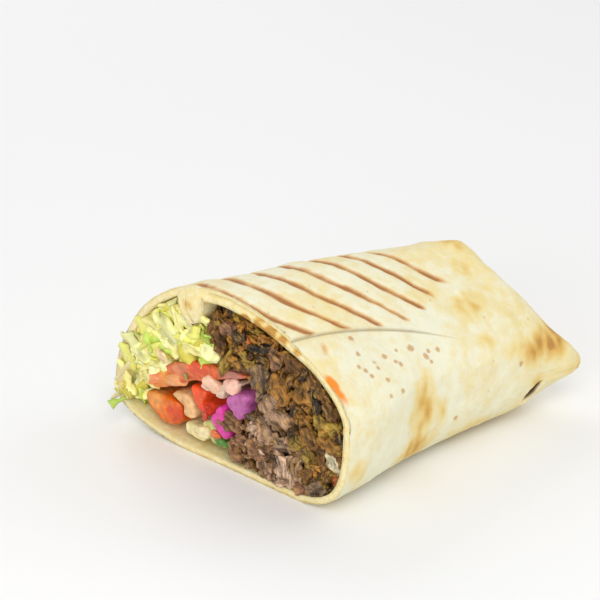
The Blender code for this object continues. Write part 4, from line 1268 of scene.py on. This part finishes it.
def torn_leaf(settings):
    """The ragged pale leaf that reaches out of the cut on the salad side."""
    rise = np.linspace(0, 1, 26)[:, None]
    out = np.linspace(0, 1, 14)[None, :]
    ragged = 1 - 0.30 * rise - 0.12 * np.sin(9 * rise) + 0.05 * np.sin(31 * rise)
    wave = 0.7 * np.sin(4 * rise + 2 * out) + 0.3 * np.sin(17 * rise) * out
    grid = flat_grid(5.0 - 9.5 * out * ragged, 34.4 + wave - 2.6 * rise,
                     8.6 + 15.5 * rise + 0.5 * np.sin(5 * out))
    return wavy_leaf(grid, settings, TORN_LEAF)


def hanging_shred(settings):
    """The lime green shred that hangs over the bread's edge."""
    share = np.linspace(0, 1, 18)[:, None]
    side = np.linspace(-1, 1, 6)[None, :]
    wide = 1.3 * (1 + 0.6 * np.sin(7 * share)) * side
    up = 8.6 + 0.7 * np.sin(3 * share) - 1.4 * share + 0.5 * wide
    up = up + 0.25 * np.sin(16 * share) * np.abs(side)
    grid = flat_grid(5.0 - 10.6 * share, 32.4 + 1.6 * share + 0.6 * wide, up)
    return wavy_leaf(grid, settings, HANGING_SHRED)


def edge_leaves(settings, rng):
    """The leaves and shreds that lie over the edge of the bread."""
    chunks = [torn_leaf(settings), hanging_shred(settings)]
    for kind, across, up, lean, long, wide, ahead in EDGE_PIECES:
        grid = shred_grid(rng, long * 0.55, wide * 0.55, 0.4, rng.uniform(-0.5, 0.5))
        chunks.append(lay(rng, sheet_shape(grid, EDGE_THICKNESS), getattr(settings, kind), lean,
                          90 + rng.gauss(0, 15), 12, on_cut(across, up, ahead)))
    return chunks


def paint_leaf(settings):
    """Crisp wet leaf with pale veins along the shreds."""
    paint = Paint("leaf")
    grain = paint.stored("grain", "Vector")
    vein = paint.noise(0.9, 3, 0.55, place=grain)
    mottle = paint.noise(2.4, 3, 0.55)
    colour = paint.mix(mottle.rise(0.52, 0.72) * 0.35, paint.stored("shade", "Color"), settings.olive)
    colour = paint.mix(vein.rise(0.55, 0.75) * 0.4, colour, settings.white)
    colour = paint.mix((1 - vein.rise(0.3, 0.45)) * 0.25, colour, settings.gold)
    return paint.finish(colour, 0.42 + 0.25 * mottle, vein + mottle * 0.5, 0.2,
                        Subsurface_Weight=0.35, Subsurface_Radius=(0.0020, 0.0020, 0.0006),
                        Coat_Weight=0.05)


class SHAWARMA_OT_leaf(bpy.types.Operator):
    """Pile the shredded leaf on the far side of the roll"""

    bl_idname = "shawarma.leaf"
    bl_label = "Pile Leaf"

    def execute(self, context):
        settings = context.scene.shawarma_leaf
        rng = random.Random(LEAF_SEED)
        core = node_core("lettuce", "leaf_core", LEAF_CORE_START, LEAF_CORE_GAP)
        # The leaf's core shows in the gaps between the shreds; its gold is partly painted shade there
        settle(core, paint_core("leaf_core", settings.cream, settings.gold),
               ["lettuce"])
        material = paint_leaf(settings)
        for name, make, free in (("leaf_shreds", leaf_shreds, False),
                                 ("torn_leaves", edge_leaves, True)):
            settle_chunks(name, make(settings, rng), material, ["lettuce"], free)
        return {'FINISHED'}


# Cut vegetables

class ShawarmaVegetableSettings(bpy.types.PropertyGroup):
    """Sizes and colours of the cut vegetables."""

    voxel: length_property("Detail", "Size of the finest detail of the cut faces", 0.3)
    slab: colour_property("Tomato Slab", "Slab of tomato", (0.66, 0.11, 0.02))
    wedge: colour_property("Tomato Wedge", "Wedge of tomato", (0.76, 0.155, 0.01))
    strip: colour_property("Tomato Strip", "Strip of tomato", (0.84, 0.08, 0.01))
    pickled: colour_property("Pickled Onion", "Beet-dyed onion", (0.48, 0.11, 0.34))
    magenta: colour_property("Magenta", "Bright shred of it", (0.70, 0.04, 0.34))
    onion: colour_property("Onion", "Raw onion", (0.88, 0.68, 0.50))
    shard: colour_property("Onion Shard", "Glassy onion", (0.78, 0.58, 0.42))
    slice: colour_property("Onion Slice", "Slice of onion", (0.78, 0.47, 0.20))
    cabbage: colour_property("Cabbage", "Cabbage rib", (0.85, 0.76, 0.38))
    flesh: colour_property("Flesh", "Cucumber flesh", (0.68, 0.64, 0.23))


# Colours that differ within a piece: across, up, reach, colour
TINTS = {
    "tomato_slab": [(9.5, 27.3, 4, (0.72, 0.08, 0.02)), (15.5, 23.5, 3.4, (0.66, 0.22, 0.09)),
                    (22.5, 18.5, 3.5, (0.80, 0.37, 0.03)), (24, 15.5, 3, (0.75, 0.23, 0.035)),
                    (-3, 28.3, 4, (0.49, 0.19, 0.14))],
    "tomato_wedge": [(25, 10.5, 3.2, (0.80, 0.33, 0.07)), (18, 9, 2.8, (0.68, 0.07, 0.01))],
    "tomato_strip": [(7.5, 13, 2.2, (0.72, 0.05, 0.02))],
    "cucumber_slice": [(2.5, 5.3, 2.8, (0.07, 0.26, 0.03))],
}
PIECES = [("tomato_slab", "tomato", "slab"), ("tomato_wedge", "tomato", "wedge"),
          ("tomato_strip", "tomato", "strip"), ("pickled_onion", "pickled_onion", "pickled"),
          ("pickled_onion_shred", "pickled_onion", "magenta"), ("onion_chunk", "onion", "onion"),
          ("onion_shard", "onion", "shard"), ("onion_slice", "onion", "slice"),
          ("cabbage_rib", "cabbage", "cabbage"), ("cucumber_slice", "cucumber", "flesh")]

# Smaller pieces between them: colour, across, up, lean in degrees, length, width, place along
BITS = [((0.75, 0.16, 0.03), 3, 8.5, 40, 3.0, 2.2, 0.4),
        ((0.66, 0.06, 0.02), 6.5, 12.5, 80, 2.6, 1.6, 0.3),
        ((0.84, 0.52, 0.36), 4, 22.8, 40, 5.5, 4.6, 0.8),
        ((0.82, 0.50, 0.38), -2.5, 24.6, 160, 5.0, 4.4, 1.0),
        ((0.80, 0.26, 0.07), 24, 17.4, 150, 7.0, 3.6, 0.6),
        ((0.80, 0.34, 0.12), 16.5, 19.4, 165, 7.0, 3.4, 0.7),
        ((0.30, 0.32, 0.05), 12.5, 22, 50, 2.0, 0.9, 0.1),
        ((0.86, 0.74, 0.40), 9, 6.5, 160, 7.0, 3.6, 1.4)]

# Each kind of flesh: its slot, its paler fibres, partly painted highlight, and its sheen
FLESH = [("tomato", (0.84, 0.38, 0.09), 0.05), ("pickled_onion", (0.70, 0.30, 0.55), 0.15),
         ("onion", (0.94, 0.80, 0.60), 0.2), ("cabbage", (0.92, 0.88, 0.60), 0.05),
         ("cucumber", (0.75, 0.78, 0.35), 0.15)]



def cut_piece(node, settings, colour):
    """A cut vegetable from its solid: remeshed fine, a little worn, with its own tints."""
    piece = copy_of_node(node, node + "_cut")
    apply_modifier(piece, 'REMESH', mode='VOXEL', voxel_size=settings.voxel / METRES_IN_MM)
    passes = 8 if "onion" in node else 3
    apply_modifier(piece, 'SMOOTH', factor=0.5, iterations=passes)
    points = get_points(piece)
    uneven = 0.30 * wobble(points, 3.2, 71) + 0.14 * wobble(points, 1.3, 72)
    uneven += 0.05 * wobble(points, 0.6, 73)
    colours = np.tile(np.array(colour), (len(points), 1))
    shake = 1.2 * wobble(points, 2.0, 74)
    for across, up, reach, tint in TINTS.get(node, []):
        distance = np.hypot(points[:, 1] - across, points[:, 2] - up) + shake
        share = fade(distance, (0.4 * reach, 1.35 * reach))[:, None]
        colours = blend(colours, np.array(tint), share)
    colours *= (1 + 0.35 * wobble(points, 1.4, 75))[:, None]
    set_points(piece, points + get_normals(piece) * uneven[:, None])
    store_shade(piece, colours)
    return piece


JUICE_SHADE = (0.72, 0.45, 0.4)


def paint_wet(name, light, sheen):
    """Wet flesh in its own colours, with paler fibres that are partly painted highlight, and fine
    grain.
    """
    paint = Paint(name)
    broad = paint.noise(2.2, 3, 0.55)
    fine = paint.noise(0.5, 3, 0.6)
    fibre = paint.noise(1.0, 2, 0.5, squeeze=(1, 0.35, 1.4))
    colour = paint.mix((1 - broad.rise(0.3, 0.5)) * 0.4, paint.stored("shade", "Color"),
                       JUICE_SHADE, 'MULTIPLY')
    # Paler fibres: partly fibre colour, partly painted highlight
    colour = paint.mix(fibre.rise(0.56, 0.74) * 0.35, colour, light)
    return paint.finish(colour, 0.24 + 0.25 * fine, broad * 0.5 + fine * 0.4, 0.18,
                        Subsurface_Weight=0.25, Subsurface_Radius=(0.0015, 0.0008, 0.0006),
                        Coat_Weight=sheen, Coat_Roughness=0.12)


class SHAWARMA_OT_vegetables(bpy.types.Operator):
    """Lay the tomato, onion, cabbage and cucumber pieces and the loose bits"""

    bl_idname = "shawarma.vegetables"
    bl_label = "Lay Vegetables"

    def execute(self, context):
        settings = context.scene.shawarma_vegetables
        rng = random.Random(VEGETABLE_SEED)
        flesh = {slot: paint_wet(slot + "_flesh", light, sheen) for slot, light, sheen in FLESH}
        for node, slot, colour in PIECES:
            settle(cut_piece(node, settings, getattr(settings, colour)), flesh[slot], [node])
        chunks = []
        for colour, across, up, lean, long, wide, ahead in BITS:
            shape = torn_shape(rng, (long * 0.5, wide * 0.5, wide * 0.3), 17, 20, 0.22)
            chunks.append(lay(rng, shape, colour, lean, 90, 0, on_cut(across, up, ahead)))
        settle_chunks("small_pieces", chunks, flesh["onion"])
        return {'FINISHED'}


# Floor, lights and camera

class ShawarmaStageSettings(bpy.types.PropertyGroup):
    """The floor and the light."""

    floor_size: length_property("Floor Size", "Side of the floor", 4000)
    floor: colour_property("Floor", "Pale floor", (0.88, 0.88, 0.88))
    sky: colour_property("Sky", "Soft light from all round", (1.0, 1.0, 1.0))


# Soft square lights: name, place, the point they face, side in metres, power
LIGHTS = [("key", (-0.35, -0.55, 0.75), (0, 0, 0.02), 0.6, 3.4),
          ("fill", (0.6, -0.3, 0.5), (0, 0, 0.02), 0.6, 1.2),
          ("back", (0.1, 0.7, 0.6), (0, 0, 0.02), 0.6, 2.0),
          ("front", (-0.5, -0.25, 0.22), (-0.04, 0, 0.02), 0.3, 0.8)]
SKY_STRENGTH = 0.55
FLOOR_CLOUDS = (0.95, 0.95, 0.95)


def add_area(name, place, aim, size, power):
    """A soft square light."""
    data = bpy.data.lights.new(name, 'AREA')
    data.size = size
    data.energy = power
    light = bpy.data.objects.new(name, data)
    light.location = place
    light.rotation_euler = (Vector(aim) - Vector(place)).to_track_quat('-Z', 'Y').to_euler()
    bpy.context.scene.collection.objects.link(light)


def add_camera():
    """The camera a little above the roll, looking down at its cut and its meat side."""
    right = Vector((math.cos(CAMERA_TURN), -math.sin(CAMERA_TURN), 0))
    forward = Vector((math.sin(CAMERA_TURN) * math.cos(CAMERA_DROP),
                      math.cos(CAMERA_TURN) * math.cos(CAMERA_DROP), -math.sin(CAMERA_DROP)))
    up = right.cross(forward)
    focal = CAMERA_LENS / SENSOR * FRAME_PIXELS
    half = FRAME_PIXELS / 2
    aim = forward + right * ((half - LENS_AXIS_PIXEL[0]) / focal)
    aim += up * ((LENS_AXIS_PIXEL[1] - half) / focal)
    aim.normalize()
    right = (right - aim * right.dot(aim)).normalized()
    up = right.cross(aim)
    data = bpy.data.cameras.new("camera")
    data.lens = CAMERA_LENS
    data.sensor_width = SENSOR
    data.clip_start = 0.01
    data.clip_end = 20
    camera = bpy.data.objects.new("camera", data)
    rotation = Matrix((right, up, -aim)).transposed()
    camera.matrix_world = Matrix.Translation(TO_PART @ CAMERA_PLACE) @ rotation.to_4x4()
    bpy.context.scene.collection.objects.link(camera)
    bpy.context.scene.camera = camera


class SHAWARMA_OT_stage(bpy.types.Operator):
    """Set the pale floor, the soft light and the camera"""

    bl_idname = "shawarma.stage"
    bl_label = "Set Stage"

    def execute(self, context):
        settings = context.scene.shawarma_stage
        deselect_all()
        bpy.ops.mesh.primitive_plane_add(size=settings.floor_size)
        floor = bpy.context.object
        floor.name = "floor"
        paint = Paint("floor")
        cloudy = paint.noise(300, 2, 0.4)
        colour = paint.mix(cloudy * 0.1, settings.floor, FLOOR_CLOUDS)
        floor.data.materials.append(paint.finish(colour, 0.8))
        world = bpy.data.worlds.new("sky")
        world.use_nodes = True
        background = world.node_tree.nodes["Background"]
        background.inputs["Color"].default_value = (*settings.sky, 1)
        background.inputs["Strength"].default_value = SKY_STRENGTH
        context.scene.world = world
        context.scene.view_settings.view_transform = 'Standard'
        for light in LIGHTS:
            add_area(*light)
        add_camera()
        return {'FINISHED'}


class VIEW3D_PT_shawarma(bpy.types.Panel):
    """Lists the steps that build the shawarma"""

    bl_label = "Shawarma"
    bl_space_type = 'VIEW_3D'
    bl_region_type = 'UI'
    bl_category = "Shawarma"

    def draw(self, context):
        for operator in OPERATORS:
            self.layout.operator(operator.bl_idname)
        for name, group in SETTINGS.items():
            box = self.layout.box()
            box.label(text=group.__doc__)
            for prop in group.__annotations__:
                box.prop(getattr(context.scene, name), prop)


SETTINGS = {
    "shawarma_bread": ShawarmaBreadSettings,
    "shawarma_meat": ShawarmaMeatSettings,
    "shawarma_leaf": ShawarmaLeafSettings,
    "shawarma_vegetables": ShawarmaVegetableSettings,
    "shawarma_stage": ShawarmaStageSettings,
}
OPERATORS = [SHAWARMA_OT_bread, SHAWARMA_OT_meat, SHAWARMA_OT_leaf, SHAWARMA_OT_vegetables,
             SHAWARMA_OT_stage]


def register():
    """Register the settings, operators and panel."""
    for name, group in SETTINGS.items():
        bpy.utils.register_class(group)
        setattr(bpy.types.Scene, name, bpy.props.PointerProperty(type=group))
    for operator in OPERATORS:
        bpy.utils.register_class(operator)
    bpy.utils.register_class(VIEW3D_PT_shawarma)


def unregister():
    """Take them out again."""
    bpy.utils.unregister_class(VIEW3D_PT_shawarma)
    for operator in reversed(OPERATORS):
        bpy.utils.unregister_class(operator)
    for name, group in SETTINGS.items():
        delattr(bpy.types.Scene, name)
        bpy.utils.unregister_class(group)


def main():
    """Build every piece in order."""
    register()
    bpy.ops.shawarma.bread()
    bpy.ops.shawarma.meat()
    bpy.ops.shawarma.leaf()
    bpy.ops.shawarma.vegetables()
    bpy.ops.shawarma.stage()


if __name__ == "__main__":
    main()
